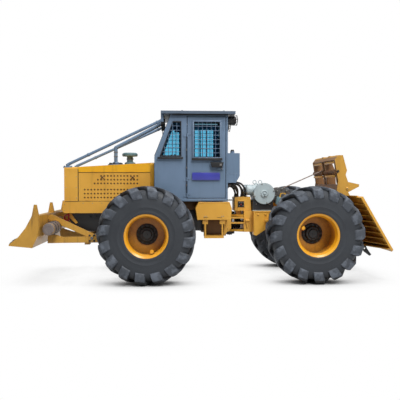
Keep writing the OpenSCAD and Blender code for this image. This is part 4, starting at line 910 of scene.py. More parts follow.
rearHalf, rearLow, rearHigh = cabSettings["rearPane"]
wireWork("rear_window_guard", paneLines(rearHalf, rearLow, rearHigh, 13, 11, lambda z: shell.high.x - 0.008),
         cabSettings["wire"], "cab", "front_frame")
screenHalf, screenLow, screenHigh = cabSettings["screenPane"]
wireWork("windscreen_guard", paneLines(screenHalf, screenLow, screenHigh, 14, 9,
                                       lambda z: screenX(z) + 0.004),
         cabSettings["wire"], "cab", "front_frame")


def onScreen(low, high):  # outline of a strip that lies on the windscreen
    return [(screenX(low) - 0.008, low), (screenX(high) - 0.008, high), (screenX(high) + 0.004, high),
            (screenX(low) + 0.004, low)]


frontTrim = Bench()
for low, high in ((screenLow - 0.032, screenLow), (screenHigh, screenHigh + 0.03)):
    frontTrim.plate(onScreen(low, high), (-0.56, 0.56), "seal")
frontTrim.platePair(onScreen(screenLow, screenHigh), (screenHalf, 0.56), "seal")
for side in (-1, 1):  # wipers
    frontTrim.bar((screenX(2.14) - 0.02, side * 0.26, 2.135), (screenX(2.5) - 0.018, side * 0.11, 2.5), 0.006,
                  "frame", 8)
    frontTrim.turned(capped([(0.02, 0), (0.016, 0.02)], 0.002), (screenX(2.14), side * 0.26, 2.135),
                     (-1, 0, 0.3), "plastic", 20)
frontTrim.boxPair((screenX(2.5) - 0.024, screenX(2.5) - 0.012), (0.11, 0.12), (2.30, 2.66), "seal")
frontTrim.make("windscreen_trim_and_wipers", "front_frame", 0.0015)
rearTrim = Bench()
rearSkin = (shell.high.x - 0.001, shell.high.x + 0.006)
rearTrim.boxPair(rearSkin, (rearHalf, rearHalf + 0.025), (rearLow - 0.025, rearHigh + 0.025), "seal")
for z in (rearLow - 0.025, rearHigh):
    rearTrim.box(rearSkin, (-rearHalf, rearHalf), (z, z + 0.025), "seal")
rearTrim.make("rear_window_seal", "front_frame", 0.002)

lampSettings = {"guardRadius": 0.086, "guardRings": 3, "guardPitch": 0.05, "wire": 0.004,
                "stays": (0.4, 1.97, 3.54, 5.11)}  # the stays' angles in radians
lamps, lampGuards, workLamps = Bench(), [], Span("work_lamps")


def lampPlace(lamp, along, radius, angle):
    return lamp + Vector((along, radius * math.cos(angle), radius * math.sin(angle)))


for side in (-1, 1):
    rear = Vector((workLamps.high.x, side * (wall - 0.1), cabTop - 0.092))
    lamps.turned([(0.052, -0.002), (0.066, -0.002), (0.068, 0.006), (0.060, 0.010), (0.052, 0.006)], rear,
                 (1, 0, 0), "frame", 36)
    lamps.turned(capped([(0.054, -0.004), (0.054, 0.002), (0.046, 0.008), (0.03, 0.012)], 0.002), rear,
                 (1, 0, 0), "lens" if side > 0 else "redLens", 36)
    size = lampSettings["guardRadius"]
    for k in range(lampSettings["guardRings"]):
        lampGuards.append([lampPlace(rear, 0.03 - lampSettings["guardPitch"] * k, size, 2 * math.pi * i / 28)
                           for i in range(29)])
    for angle in lampSettings["stays"]:
        lampGuards.append([lampPlace(rear, along, size * share, angle)
                           for along, share in ((-0.085, 1), (0.032, 1), (0.044, 0.45), (0.048, 0))])
    front = Vector((workLamps.low.x, side * 0.4, cabTop - 0.12))
    lamps.turned([(0.050, -0.008), (0.067, -0.008), (0.069, 0.0), (0.05, 0.004)], front, (-1, 0, 0), "frame",
                 36)
    lamps.turned(capped([(0.054, -0.004), (0.05, 0.003), (0.03, 0.008)], 0.002), front, (-1, 0, 0), "lens",
                 36)
lamps.make("work_lamp_lenses", "front_frame", 0.001)
wireWork("work_lamp_guards", lampGuards, lampSettings["wire"], "frame", "front_frame")

tank, tankTrim = Span("hydraulic_tank"), Bench()
tankTrim.turned(capped([(0.034, 0), (0.034, 0.006), (0.030, 0.008), (0.030, 0.024), (0.026, 0.030)], 0.001),
                (tank.low.x + 0.09, tank.low.y + 0.11, tank.high.z), (0, 0, 1), "frame")
for z in (tank.low.z + 0.15, tank.high.z - 0.06):
    tankTrim.box((tank.low.x - 0.001, tank.high.x + 0.003), (tank.low.y - 0.002, tank.low.y + 0.004),
                 (z, z + 0.006), "cab")
tankTrim.make("tank_cap_and_seams", "front_frame")
roofTrim, slabTop = Bench(), roof.high.z - 0.016
roofTrim.box((roof.low.x + 0.05, roof.high.x - 0.05), (-0.64, -0.6), (slabTop, slabTop + 0.006), "cab")
roofTrim.mirrored()
roofTrim.box((roof.low.x + 0.28, roof.low.x + 0.82), (-0.3, 0.3), (slabTop, slabTop + 0.012), "cab")
roofTrim.make("roof_panels", "front_frame")
print("cab trimmed")


nose, hood, skirt = Span("nose_grille"), Span("hood_top"), Span("side_skirts")
hoodSettings = {"half": 0.48, "band": 1.84, "sheet": 0.472, "latches": (0.409, 0.925), "latchHeight": 1.752,
                "hinges": (0.16, 0.62, 1.04), "screw": 0.014}
hoodFront, hoodBack = nose.high.x, Span("hood_sides").high.x
beltZ, bandZ, half, sheet = skirt.high.z, hoodSettings["band"], hoodSettings["half"], hoodSettings["sheet"]


def noseTopAt(x):  # height of the hood's crest
    share = (x - hoodFront) / (hoodBack - hoodFront)
    return nose.high.z + (hood.high.z - nose.high.z) * max(0.0, min(1.0, share))


liner = Bench()
# brown sheets behind the hood's openings paint the shade inside the engine bay
liner.boxPair((hoodFront + 0.02, hoodBack - 0.02), (0.448, 0.462), (beltZ + 0.02, bandZ - 0.02), "paintedShadeOchre")
liner.make("engine_bay_liner", "front_frame", 0.002)

seams = Bench()
skin, sheetSkin = (half - 0.002, half + 0.0025), (sheet - 0.002, sheet + 0.0025)
for x, y, z in (((hoodFront - 0.005, hoodFront + 0.005), skin, (beltZ, nose.high.z - 0.04)),
                ((nose.low.x + 0.01, hoodFront), skin, (beltZ - 0.004, beltZ + 0.004)),
                ((hoodBack + 0.006, hoodBack + 0.011), skin, (beltZ, hood.high.z - 0.05)),
                ((hoodFront, hoodBack), sheetSkin, (beltZ, beltZ + 0.007)),
                ((hoodFront + 0.01, hoodBack - 0.01), sheetSkin, (bandZ - 0.007, bandZ - 0.001))):
    seams.boxPair(x, y, z, "seal")
seams.make("hood_seams", "front_frame", 0)

doors = Bench()
for along in hoodSettings["latches"]:
    x, z = hoodFront + along, hoodSettings["latchHeight"]
    doors.turnedPair(disc(0.024, 0.004), (x, sheet, z), "body", 28)
    for lean in (-1, 1):  # the two bars of the cross
        armX, armZ = 0.034 * lean, 0.030
        wide = Vector((armZ * lean, 0, -armX * lean)).normalized() * 0.005
        # the cross's bars are in the shaded ochre, painted shade
        doors.platePair([(x + armX + wide.x, z + armZ + wide.z), (x + armX - wide.x, z + armZ - wide.z),
                         (x - armX - wide.x, z - armZ - wide.z), (x - armX + wide.x, z - armZ + wide.z)],
                        (sheet + 0.003, sheet + 0.009), "paintedShadeOchre")
    doors.turnedPair([(0, 0.01), (0.012, 0.01), (0.011, 0.02), (0, 0.022)], (x, sheet, z), "frame", 20)
for along in hoodSettings["hinges"]:
    x, z = hoodFront + along, beltZ + 0.018
    for y in (-sheet - 0.006, sheet + 0.006):
        doors.bar((x - 0.035, y, z), (x + 0.035, y, z), 0.006, "body", 10)
doors.make("hood_latches", "front_frame", 0.0015, slotName="body_ochre")
screwPlaces = [(nose.low.x + 0.225, half - 0.004, 1.885), (hood.high.x - 0.035, half - 0.004, 1.88)]
screwPlaces += [(x, half, z) for x in (nose.low.x + 0.03, hoodFront - 0.03) for z in (1.4, 1.58, 1.76)]
screwPlaces += [(hoodFront + 0.08 + 0.16 * k, half, beltZ - 0.03) for k in range(8)]
screwPlaces += [(skirt.low.x + 0.04, half, z) for z in (1.18, 1.29)]
sideBolts("hood_screws", screwPlaces, hoodSettings["screw"], "front_frame", "bolt", rivetShape)

grilleX, grilleLow, grilleHigh = nose.low.x + 0.026, beltZ + 0.075, nose.high.z - 0.095
grille = [[(grilleX, y, grilleLow), (grilleX, y, grilleHigh)]
          for y in [-0.38 + 0.76 * i / 26 for i in range(1, 26)]]
for i in range(1, 15):
    z = grilleLow + (grilleHigh - grilleLow) * i / 15
    grille.append([(grilleX + 0.004, -0.385, z), (grilleX + 0.004, 0.385, z)])
wireWork("nose_grille_mesh", grille, 0.0028, "frame", "front_frame", 6)
radiator = Bench()
radiator.box((nose.low.x + 0.075, nose.low.x + 0.15), (-0.40, 0.40), (beltZ + 0.04, nose.high.z - 0.07),
             "frame")
for y in [-0.375 + 0.0325 * k for k in range(24)]:
    radiator.box((nose.low.x + 0.068, nose.low.x + 0.078), (y, y + 0.003), (beltZ + 0.06, nose.high.z - 0.09),
                 "steel")
radiator.box((nose.low.x + 0.08, nose.low.x + 0.17), (-0.42, 0.42), (nose.high.z - 0.075, nose.high.z - 0.03),
             "frame")
radiator.turned(disc(0.03, 0.012, 0.002), (nose.low.x + 0.12, 0, nose.high.z - 0.032), (0, 0, 1), "steel", 24)
radiator.make("radiator", "front_frame", 0.002, slotName="frame_black")

engine, motor = Span("engine_block"), Bench()
front, back, side = engine.low.x, engine.high.x, engine.high.y
for k in range(3):  # rocker covers
    x = front + 0.16 + 0.22 * k
    motor.box((x, x + 0.17), (-0.15, 0.15), (engine.high.z - 0.002, engine.high.z + 0.045), "iron")
    for y in (-0.07, 0.07):
        motor.turned(disc(0.012, 0.012, 0.002), (x + 0.085, y, engine.high.z + 0.045), (0, 0, 1), "bolt", 6)
motor.boxPair((front + 0.1, back - 0.06), (side - 0.002, side + 0.018),
              (engine.low.z + 0.05, engine.low.z + 0.09), "iron")
for turn in (-1, 1):
    pipe = [(front + 0.1 + 0.02 * k, turn * (side + (0.045 if 0 < k < 6 else 0)),
             engine.high.z - 0.1 - 0.02 * k) for k in range(7)]
    motor.tube(curvedLine(pipe, 4), 0.018, "iron", 12)
    motor.turned(capped([(0.05, 0), (0.05, 0.15), (0.042, 0.165)], 0.003),
                 (back - 0.2, turn * (side + 0.052), 1.2), (0, 0, 1), "frame", 28)
motor.boxPair((back - 0.23, back - 0.17), (side - 0.002, side + 0.05), (1.3, 1.36), "iron")
for path in ([(front + 0.1, -0.1, engine.high.z + 0.02), (front + 0.02, -0.16, engine.high.z + 0.05),
              (front - 0.1, -0.22, 1.74), (front - 0.2, -0.26, 1.78)],
             [(front + 0.05, 0.1, engine.low.z + 0.1), (front - 0.08, 0.16, engine.low.z + 0.16),
              (front - 0.24, 0.22, 1.42)]):
    motor.tube(curvedLine(path), 0.025, "hose", 14)
for y, z, r in ((0, 1.36, 0.09), (0.02, 1.18, 0.085), (-0.14, 1.48, 0.045)):  # pulleys
    motor.turned(capped([(r, 0), (r, 0.012), (r - 0.012, 0.02), (r, 0.028), (r, 0.04), (r * 0.4, 0.04),
                         (r * 0.3, 0.05)]), (front + 0.002, y, z), (-1, 0, 0), "iron")
motor.make("engine_fittings", "front_frame", slotName="engine_iron")
fanSettings = {"blades": 7, "root": 0.045, "tip": 0.24, "twist": 0.32}
fan, hubAt = Bench(), Vector((front - 0.05, 0, 1.56))
fan.bar(hubAt, hubAt + Vector((0.08, 0, 0)), 0.05, "frame", 24)
for angle in aroundCircle(fanSettings["blades"]):
    p = [lampPlace(hubAt, along, fanSettings[end], angle + turn)
         for along, end, turn in ((0.035, "root", 0), (0, "root", fanSettings["twist"]),
                                  (-0.012, "tip", fanSettings["twist"]), (0.028, "tip", 0))]
    fan.keep(p + [q + Vector((0.004, 0, 0)) for q in p],
             [(0, 1, 2, 3), (7, 6, 5, 4), (0, 4, 5, 1), (1, 5, 6, 2), (2, 6, 7, 3), (3, 7, 4, 0)], "frame")
fan.make("cooling_fan", "front_frame", 0)

stackX, stackFoot = Span("exhaust_pipe").low.x + 0.14, Span("exhaust_pipe").low.z
stack = Bench()
stack.turned([(0.034, 0), (0.06, 0), (0.06, 0.03), (0.05, 0.042), (0.034, 0.042)],
             (stackX, 0, noseTopAt(stackX) + 0.024), (0, 0, 1), "cab", 40)
for z in (2.12, 2.2):
    stack.turned([(0.032, 0), (0.037, 0.002), (0.037, 0.016), (0.032, 0.018)], (stackX, 0, z), (0, 0, 1),
                 "steel")
stack.make("exhaust_collar", "front_frame", 0.002)
flangeNuts = [((stackX + 0.105 * math.cos(a), 0.105 * math.sin(a), stackFoot + 0.036), (0, 0, 1))
              for a in aroundCircle(6, 20)]
boltRow("exhaust_flange_nuts", flangeNuts, 0.032, "front_frame", "frame")
cleaner, bowl = Span("pre_cleaner"), Bench()
bowlX, bowlTop = cleaner.mid.x, cleaner.high.z
for drop, r in ((0.052, 0.138), (0.024, 0.1365)):
    bowl.turned(ring(r - 0.012, r, -0.004, 0.004), (bowlX, 0, bowlTop - drop), (0, 0, 1), "cleaner", 56)
bowl.turned([(0.054, 0), (0.062, 0.002), (0.062, 0.02), (0.054, 0.022)], (bowlX, 0, bowlTop - 0.125),
            (0, 0, 1), "steel", 40)
bowl.bar((bowlX + 0.06, -0.014, bowlTop - 0.114), (bowlX + 0.06, 0.03, bowlTop - 0.114), 0.006, "steel", 10)
bowl.turned([(0, 0), (0.02, 0), (0.018, 0.008), (0.008, 0.012)], (bowlX, 0, bowlTop - 0.013), (0, 0, 1),
            "frame", 6)
for angle in aroundCircle(24):  # vanes
    out = Vector((math.cos(angle), math.sin(angle), 0))
    wide = Vector((-math.sin(angle), math.cos(angle), 0)) * 0.003
    foot = Vector((bowlX, 0, bowlTop - 0.068)) + out * 0.07
    tip = foot + out * 0.055
    p = [foot - wide, tip - wide, tip + wide, foot + wide]
    bowl.keep(p + [q + Vector((0, 0, 0.012)) for q in p],
              [(3, 2, 1, 0), (4, 5, 6, 7), (0, 1, 5, 4), (1, 2, 6, 5), (2, 3, 7, 6), (3, 0, 4, 7)], "frame")
bowl.make("pre_cleaner_bands", "front_frame", 0.001)

guards = Bench()
for side in (-1, 1):
    foot = Vector((nose.low.x + 0.055, side * (half - 0.05), nose.high.z))
    guards.box((foot.x - 0.07, foot.x + 0.07), (foot.y - 0.04, foot.y + 0.04),
               (foot.z - 0.02, foot.z + 0.008), "cab")
    start = foot + Vector((0, 0, 0.04))
    end = Vector((Span("guard_pipes").high.x - 0.022, side * 0.6, cabTop - 0.1))
    for reach in (0.22, 0.94):  # clamps, at shares of the pipe's length
        at = start + (end - start).normalized() * reach * (end - foot).length
        guards.turned(ring(0.0255, 0.031, -0.014, 0.014), at, end - start, "cab", 28)
guards.make("guard_pipe_clamps", "front_frame", 0.002)
footBolts = [((nose.low.x + 0.055 + dx, side * (half - 0.05) + dy, nose.high.z + 0.007), (0, 0, 1))
             for side in (-1, 1) for dx in (-0.055, 0.055) for dy in (-0.022, 0.022)]
boltRow("guard_pipe_bolts", footBolts, 0.016, "front_frame")

towSettings = {"hook": 0.30, "thick": 0.015, "high": 0.052, "out": 0.078}
tow = Bench()  # red towing hooks ahead of the skirt
hookAt = Vector((skirt.low.x + 0.084, -towSettings["hook"], 1.055))
tow.box((hookAt.x - 0.012, hookAt.x + 0.012), (hookAt.y - 0.05, hookAt.y + 0.05), (1.02, 1.145), "red")
tow.tube([hookAt + Vector((-0.006 - towSettings["out"] * math.sin(a), 0, towSettings["high"] * math.cos(a)))
          for a in [math.pi * k / 16 for k in range(17)]], towSettings["thick"], "red", 14)
tow.mirrored()
tow.make("nose_tow_hooks", "front_frame")
print("hood trimmed")


bladeBox, frontX = Span("blade"), Span("front_left_tyre").mid.x
bladeSettings = {"armPivot": (frontX - 0.432, 0.70), "liftTop": (frontX - 0.482, 1.04),
                 "liftFoot": (frontX - 1.032, 0.68), "liftSide": 0.415, "armFace": 0.56, "ribs": (0.36, 0.78),
                 "tube": (bladeBox.low.x + 0.597, bladeBox.low.z + 0.289), "tubeHalf": bladeBox.high.y - 0.1}
tip, toe = bladeBox.low.x, bladeBox.low.z
edgeLow, edgeHigh = (tip + 0.005, toe + 0.062), (tip + 0.149, toe + 0.175)  # the cutting edge, x and z
edgeOut = Vector((edgeLow[1] - edgeHigh[1], 0, edgeHigh[0] - edgeLow[0])).normalized()


def onEdge(share, lift=0.0):
    x, z = [low + (high - low) * share for low, high in zip(edgeLow, edgeHigh)]
    return Vector((x, 0, z)) + edgeOut * lift


edges = Bench()
outline = [(p.x, p.z) for p in (onEdge(0.02), onEdge(0.62), onEdge(0.62, 0.016), onEdge(0.02, 0.012))]
edges.platePair(outline, (0.02, bladeBox.high.y - 0.035), "steel")
edges.make("blade_cutting_edges", "blade_frame", 0.002, slotName="drum_steel")
boltRow("blade_edge_bolts", [(onEdge(0.34, 0.014) + Vector((0, side * (0.09 + 0.145 * k), 0)), edgeOut)
                             for side in (-1, 1) for k in range(8)], 0.03, "blade_frame", "steel", rivetShape)

ribs, back = Bench(), tip + 0.472
for y in bladeSettings["ribs"]:
    ribs.platePair([(back - 0.002, toe + 0.34), (back + 0.045, toe + 0.32), (back + 0.012, toe + 0.2),
                    (back - 0.014, toe + 0.2)], (y - 0.008, y + 0.008), "blade")
ribs.make("blade_ribs", "blade_frame", 0.002)

crossTube = Bench()
tubeX, tubeZ = bladeSettings["tube"]
tubeHalf = bladeSettings["tubeHalf"]
crossTube.turnedPair([(0.1002, 0.575), (0.1022, 0.578), (0.1022, tubeHalf - 0.008),
                      (0.1002, tubeHalf - 0.005)],
                     (tubeX, 0, tubeZ), "tube", 56)
for y in (0.6, 0.79, 0.98):
    crossTube.turnedPair(ring(0.101, 0.108, y - 0.012, y + 0.012), (tubeX, 0, tubeZ), "frame", 56)
crossTube.turnedPair([(0.0402, 0.30), (0.045, 0.302), (0.045, 0.33), (0.0402, 0.332)], (tubeX, 0, tubeZ),
                     "frame", 40)
crossTube.turnedPair(capped([(0.096, 0), (0.092, 0.008), (0.05, 0.01), (0.046, 0.006)]),
                     (tubeX, tubeHalf, tubeZ), "tube", 48)
crossTube.make("blade_cross_tube", "blade_frame", 0.002)

armTrim, face = Bench(), bladeSettings["armFace"]
armX, armZ = bladeSettings["armPivot"]
footX, footZ = bladeSettings["liftFoot"]
plateX, plateZ, wide, high = footX + 0.09, 0.72, 0.055, 0.062
armTrim.boxPair((plateX - wide, plateX + wide), (face - 0.002, face + 0.012), (plateZ - high, plateZ + high),
                "blade")
armTrim.turnedPair(capped([(0.026, 0), (0.026, 0.016), (0.012, 0.02)]), (plateX, face + 0.01, plateZ),
                   "steel", 28)
armTrim.boxPair((armX - 0.4, armX - 0.16), (face - 0.002, face + 0.008), (0.672, 0.728), "blade")
armTrim.make("push_arm_plates", "blade_frame")
sideBolts("push_arm_bolts", [(plateX + a * (wide - 0.018), face + 0.012, plateZ + b * (high - 0.016))
                             for a in (-1, 1) for b in (-1, 1)], 0.022, "blade_frame", "frame")
caps = Bench()
caps.turnedPair(capped([(0.05, 0), (0.05, 0.008), (0.044, 0.013)]), (armX, 0.5725, armZ), "frame", 40)
for side in (-1, 1):
    for a in aroundCircle(4, 45):
        caps.hexNut((armX + 0.03 * math.cos(a), side * 0.585, armZ + 0.03 * math.sin(a)), (0, side, 0), 0.014,
                    0.009, "bolt")
caps.turnedPair(capped([(0.008, 0), (0.005, 0.012)], 0.002), (armX, 0.585, armZ), "bolt", 12)
caps.make("push_arm_pin_caps", "front_frame", 0.001)

ramSettings = {"firstPort": 0.1, "lastPort": 0.075, "hose": 0.0105}


def ramFittings(name, barrel, foot, aim, up, reach, hoses):  # two hoses, each (middle, end)
    ports = Bench()
    portsAt = [foot + aim * along for along in (ramSettings["firstPort"], reach - ramSettings["lastPort"])]
    for at in portsAt:
        ports.turned([(0.0455, -0.012), (0.0495, -0.010), (0.0495, 0.010), (0.0455, 0.012)], at + aim * 0.03,
                     aim, "steel", 28)
        ports.turned(capped([(0.018, 0), (0.018, 0.022), (0.013, 0.026), (0.013, 0.036)], 0.002),
                     at + up * 0.041, up, "steel", 6)
    ports.turned([(0.046, 0), (0.0565, 0.002), (0.0565, 0.012), (0.046, 0.014)], foot + aim * (reach - 0.045),
                 aim, "steel")
    ports.make(name + "_ports", barrel, 0.001, slotName="drum_steel")
    for k, (middle, end) in enumerate(hoses):
        start = portsAt[k] + up * 0.075
        hose = Bench()
        hose.tube(curvedLine([start, start + up * 0.05 - aim * (0.02 + 0.16 * k), middle, end], 7),
                  ramSettings["hose"], "hose")
        piece = hose.make("%s_hose_%d" % (name, k + 1), None, 0, 60)
        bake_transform(piece)


topX, topZ = bladeSettings["liftTop"]
liftAim = Vector((footX - topX, 0, footZ - topZ)).normalized()
for side, word in bothSides:
    ramFittings(word + "_lift_cylinder", "lift_barrels",
                Vector((topX, side * bladeSettings["liftSide"], topZ)),
                liftAim, Vector((liftAim.z, 0, -liftAim.x)), 0.47,
                [((topX - 0.085, side * 0.37, 1.115), (topX - 0.10, side * 0.326, 1.10)),
                 ((topX - 0.22, side * 0.38, 1.075), (topX - 0.2, side * 0.326, 1.08))])
    anchor = Vector((Span(word + "_steering_barrel").low.x + 0.046, side * 0.15, 0.99))
    ramFittings(word + "_steering_cylinder", word + "_steering_barrel", anchor,
                Vector((0.66, side * 0.03, 0)).normalized(), Vector((0, 0, 1)), 0.46,
                [((anchor.x + 0.03, side * 0.18, 1.122), (anchor.x - 0.03, side * 0.2, 1.125)),
                 ((anchor.x + 0.12, side * 0.22, 1.118), (anchor.x - 0.03, side * 0.26, 1.125))])
print("blade and cylinders fitted")


steps, treadCount = Span("step_boxes"), 7
wheelbase, pivotToRear = 2.78, 1.313
pivotX = frontX + wheelbase - pivotToRear  # the centre pivot
boxFront, boxBack = shell.high.x - 0.5, shell.high.x
skin = (steps.high.y - 0.001, steps.high.y + 0.0035)
stepTrim = Bench()
for x, y, z, tint in (((boxFront + 0.07, boxFront + 0.15), skin, (1.075, 1.079), "seal"),
                      ((boxFront + 0.30, boxFront + 0.38), skin, (1.075, 1.079), "seal"),
                      ((boxFront, boxBack), skin, (1.318, 1.323), "body"),
                      ((boxFront + 0.05, boxBack - 0.06), (0.60, 0.74), (1.332, 1.3335), "seal")):
    stepTrim.boxPair(x, y, z, tint)
for x in [boxFront + 0.1 + 0.05 * k for k in range(treadCount)]:
    stepTrim.boxPair((x, x + 0.012), (0.74, 0.783), (0.762, 0.772), "body")
stepTrim.make("step_treads_and_seams", "front_frame", 0.001, slotName="body_ochre")
sideBolts("step_bolts", [(boxFront + along, 0.7985, 1.095) for along in (0.09, 0.12, 0.377, 0.407)], 0.017,
          "front_frame", "bolt", rivetShape)

guards = Bench()  # guard of the gearbox behind the steps, with brown sheets that paint the shade in its recesses
for outline in ([(0.09, 1.045), (0.14, 1.045), (0.14, 0.735), (0.11, 0.735)],
                [(0.455, 1.045), (0.5, 1.045), (0.5, 0.80), (0.45, 0.735), (0.44, 0.755)],
                [(0.11, 0.755), (0.45, 0.755), (0.43, 0.722), (0.13, 0.722)]):
    guards.platePair([(boxFront + along, z) for along, z in outline], (0.462, 0.475), "body")
for x, y, z, tint in (((boxFront + 0.10, boxFront + 0.49), (0.405, 0.411), (0.735, 1.05), "paintedShadeOchre"),
                      ((boxFront + 0.10, boxFront + 0.108), (0.405, 0.465), (0.735, 1.05), "paintedShadeOchre"),
                      ((boxFront + 0.484, boxFront + 0.492), (0.405, 0.465), (0.80, 1.05), "paintedShadeOchre"),
                      ((boxFront + 0.10, boxFront + 0.49), (0.405, 0.465), (1.04, 1.05), "paintedShadeOchre"),
                      ((boxFront + 0.12, boxFront + 0.44), (0.405, 0.47), (0.728, 0.736), "paintedShadeOchre"),
                      ((boxFront + 0.15, boxFront + 0.23), (0.315, 0.408), (1.0, 1.03), "paintedShadeOchre"),
                      ((boxFront + 0.29, boxFront + 0.37), (0.315, 0.408), (1.0, 1.03), "paintedShadeOchre"),
                      ((frontX + 0.52, boxFront - 0.06), (0.445, 0.455), (1.19, 1.336), "paintedShadeOchre"),
                      ((frontX + 0.56, boxFront - 0.10), (0.325, 0.45), (1.19, 1.20), "paintedShadeOchre"),
                      ((frontX + 0.60, boxFront + 0.05), (0.40, 0.41), (0.84, 1.19), "frame"),
                      ((frontX + 0.62, frontX + 0.70), (0.325, 0.402), (1.08, 1.12), "frame")):
    guards.boxPair(x, y, z, tint)
for x in [frontX + 0.63 + 0.05 * k for k in range(5)]:
    guards.boxPair((x, x + 0.02), (0.41, 0.418), (0.87, 1.16), "frame")
guards.make("gearbox_side_guards", "front_frame", 0.002, slotName="body_ochre")

pivotTrim, pivotTop = Bench(), Span("pivot_bracket").high.z
for z, aim in ((pivotTop, 1), (0.728, -1)):
    pivotTrim.turned(capped([(0.05, -0.002), (0.05, 0.006), (0.042, 0.010)]), (pivotX, 0, z), (0, 0, aim),
                     "frame", 40)
    pivotTrim.turned(capped([(0.007, 0.008), (0.005, 0.02)], 0.002), (pivotX, 0, z), (0, 0, aim), "bolt", 12)
pivotTrim.make("pivot_pin_caps", "front_frame", 0.001)
boltRow("pivot_cap_bolts", [((pivotX + 0.034 * math.cos(a), 0.034 * math.sin(a), pivotTop + 0.01), (0, 0, 1))
                            for a in aroundCircle(6, 30)], 0.013, "front_frame")
frameSpots = [(frontX + along + dx, 0.33, z) for along in (-0.363, 0.362) for dx in (-0.05, 0.05)
              for z in (0.9, 0.98, 1.06)]
frameSpots += [(frontX - 1.0 + 0.11 * k, 0.33, 1.07) for k in range(5)]
frameSpots += [(x, 0.33, z) for x in (-0.05, 0.05) for z in (0.85, 0.95, 1.05)]
sideBolts("frame_bolts", frameSpots, 0.026, "front_frame", "frame")

rear, deck = Span("rear_chassis"), 1.16
rearSettings = {"winch": (rearX - 0.732, 1.47), "drum": (rearX - 0.4, 1.428), "arch": rearX + 0.404}
front, back = pivotX + 0.072, pivotX + 0.158
cover = Bench()  # valve cover in front of the tower
cover.box((front, back), (-0.2, 0.2), (deck - 0.004, 1.405), "rear")
cover.box((front + 0.02, back), (-0.17, 0.17), (1.403, 1.412), "rear")
cover.boxPair((pivotX + 0.115, pivotX + 0.25), (0.198, 0.204), (1.215, 1.34), "rear")
cover.boxPair((pivotX + 0.125, pivotX + 0.24), (0.203, 0.206), (1.224, 1.331), "seal")
for k in range(3):
    for z, tint in ((1.25 + 0.022 * (k % 2), "red" if k == 1 else "steel"), (1.305, "steel")):
        cover.turnedPair(capped([(0.012, 0), (0.012, 0.012), (0.008, 0.016)]),
                         (pivotX + 0.15 + 0.034 * k, 0.206, z), tint, 6)
cover.make("valve_cover", "rear_frame", slotName="rear_ochre")

boot = Bench()  # rubber boot over the joint of the drive shaft
for neck, valley, crest, count, pitch, end, place, aim in (
        (0.07, 0.072, 0.088, 16, 0.018, 0.30, (pivotX, 0, 0.79), (0, 0, 1)),
        (0.09, 0.09, 0.108, 7, 0.016, 0.125, (pivotX + 0.07, 0, 0.93), (1, 0, 0))):
    folds = [(crest if k % 2 else valley, 0.012 + pitch * k) for k in range(count)]
    boot.turned(capped([(neck, 0)] + folds + [(neck, end)]), place, aim, "seal", 40)
boot.make("drive_shaft_boot", "rear_frame", 0.001)
foot = Bench()
foot.box((pivotX + 0.105, pivotX + 0.205), (-0.12, 0.12), (1.0935, deck - 0.003), "rear")
foot.make("tower_foot", "rear_frame")
cheeks = Bench()  # ends of the front frame beside the pivot
cheeks.platePair([(boxBack - 0.05, 1.135), (pivotX - 0.01, 1.135), (pivotX - 0.01, 0.86),
                  (pivotX - 0.06, 0.80),
                  (boxBack - 0.05, 0.80)], (0.3355, 0.347), "rear")
cheeks.platePair([(frontX - 1.375, 1.135), (frontX - 1.33, 1.135), (frontX - 1.215, 0.97),
                  (frontX - 1.25, 0.95),
                  (frontX - 1.36, 1.06)], (0.3285, 0.342), "rear")
for side in (-1, 1):
    for z in (0.86, 1.08):
        cheeks.hexNut((boxBack + 0.02, side * 0.347, z), (0, side, 0), 0.026, 0.016, "rear")
cheeks.make("pivot_cheek_plates", "front_frame")
shelf = Bench()
for x, y in ((pivotX + 0.25, 0.25), (pivotX + 0.575, 0.4), (pivotX + 0.86, 0.4)):
    shelf.boxPair((x, x + 0.075), (y - 0.002, y + 0.055), (0.978, 1.012), "rear")
    shelf.platePair([(x + 0.012, 0.98), (x + 0.066, 0.98), (x + 0.05, 0.86), (x + 0.03, 0.86)],
                    (y - 0.002, y + 0.03), "rear")
shelf.boxPair((pivotX + 0.40, rear.high.x - 0.02), (0.4, 0.408), (deck - 0.014, deck - 0.002), "rear")
shelf.boxPair((pivotX + 0.385, pivotX + 0.40), (0.4, 0.406), (0.80, deck - 0.004), "rear")
shelf.make("rear_frame_gussets", "rear_frame", 0.002)
rearSpots = [(rearX + along, 0.4, z) for along in (-0.32, -0.26, 0.3, 0.36) for z in (1.0, 1.06)]
rearSpots += [(pivotX + 0.46 + 0.13 * k, 0.4, 1.10) for k in range(5)]
sideBolts("rear_frame_bolts", rearSpots, 0.028, "rear_frame", "rear")

winchX, winchZ = rearSettings["winch"]
drumX, drumZ = rearSettings["drum"]
coverRadius, left = 0.166, (0, -1, 0)
winchTrim = Bench()
winchTrim.turned([(coverRadius - inward, along) for inward, along in
                  ((0.03, -0.002), (0.002, -0.002), (0.002, 0.008), (0.008, 0.012), (0.026, 0.012),
                   (0.03, 0.008))],
                 (winchX, 0.32, winchZ), (0, 1, 0), "winch", 64)
winchTrim.turned([(0.04, 0), (0.058, 0), (0.058, 0.006), (0.052, 0.009), (0.042, 0.009)],
                 (winchX, -0.355, winchZ), left, "winch", 48)
winchTrim.turned(capped([(0.02, 0), (0.02, 0.01), (0.014, 0.014)]), (winchX, -0.355, winchZ), left, "winch")
winchTrim.turned(disc(0.011, 0.01), (winchX, -0.355, winchZ - 0.045), left, "frame", 6)
endX = winchX - 0.296  # front end of the two brake cylinders
for y in (-0.15, 0.13):
    for along in (0.01, 0.1):
        winchTrim.turned([(0.0922, 0), (0.098, 0.002), (0.098, 0.014), (0.0922, 0.016)],
                         (endX + along, y, winchZ + 0.062), (1, 0, 0), "winch", 48)
    winchTrim.turned(capped([(0.07, 0), (0.062, 0.012)], 0.002), (endX, y, winchZ + 0.062), (-1, 0, 0),
                     "winch", 40)
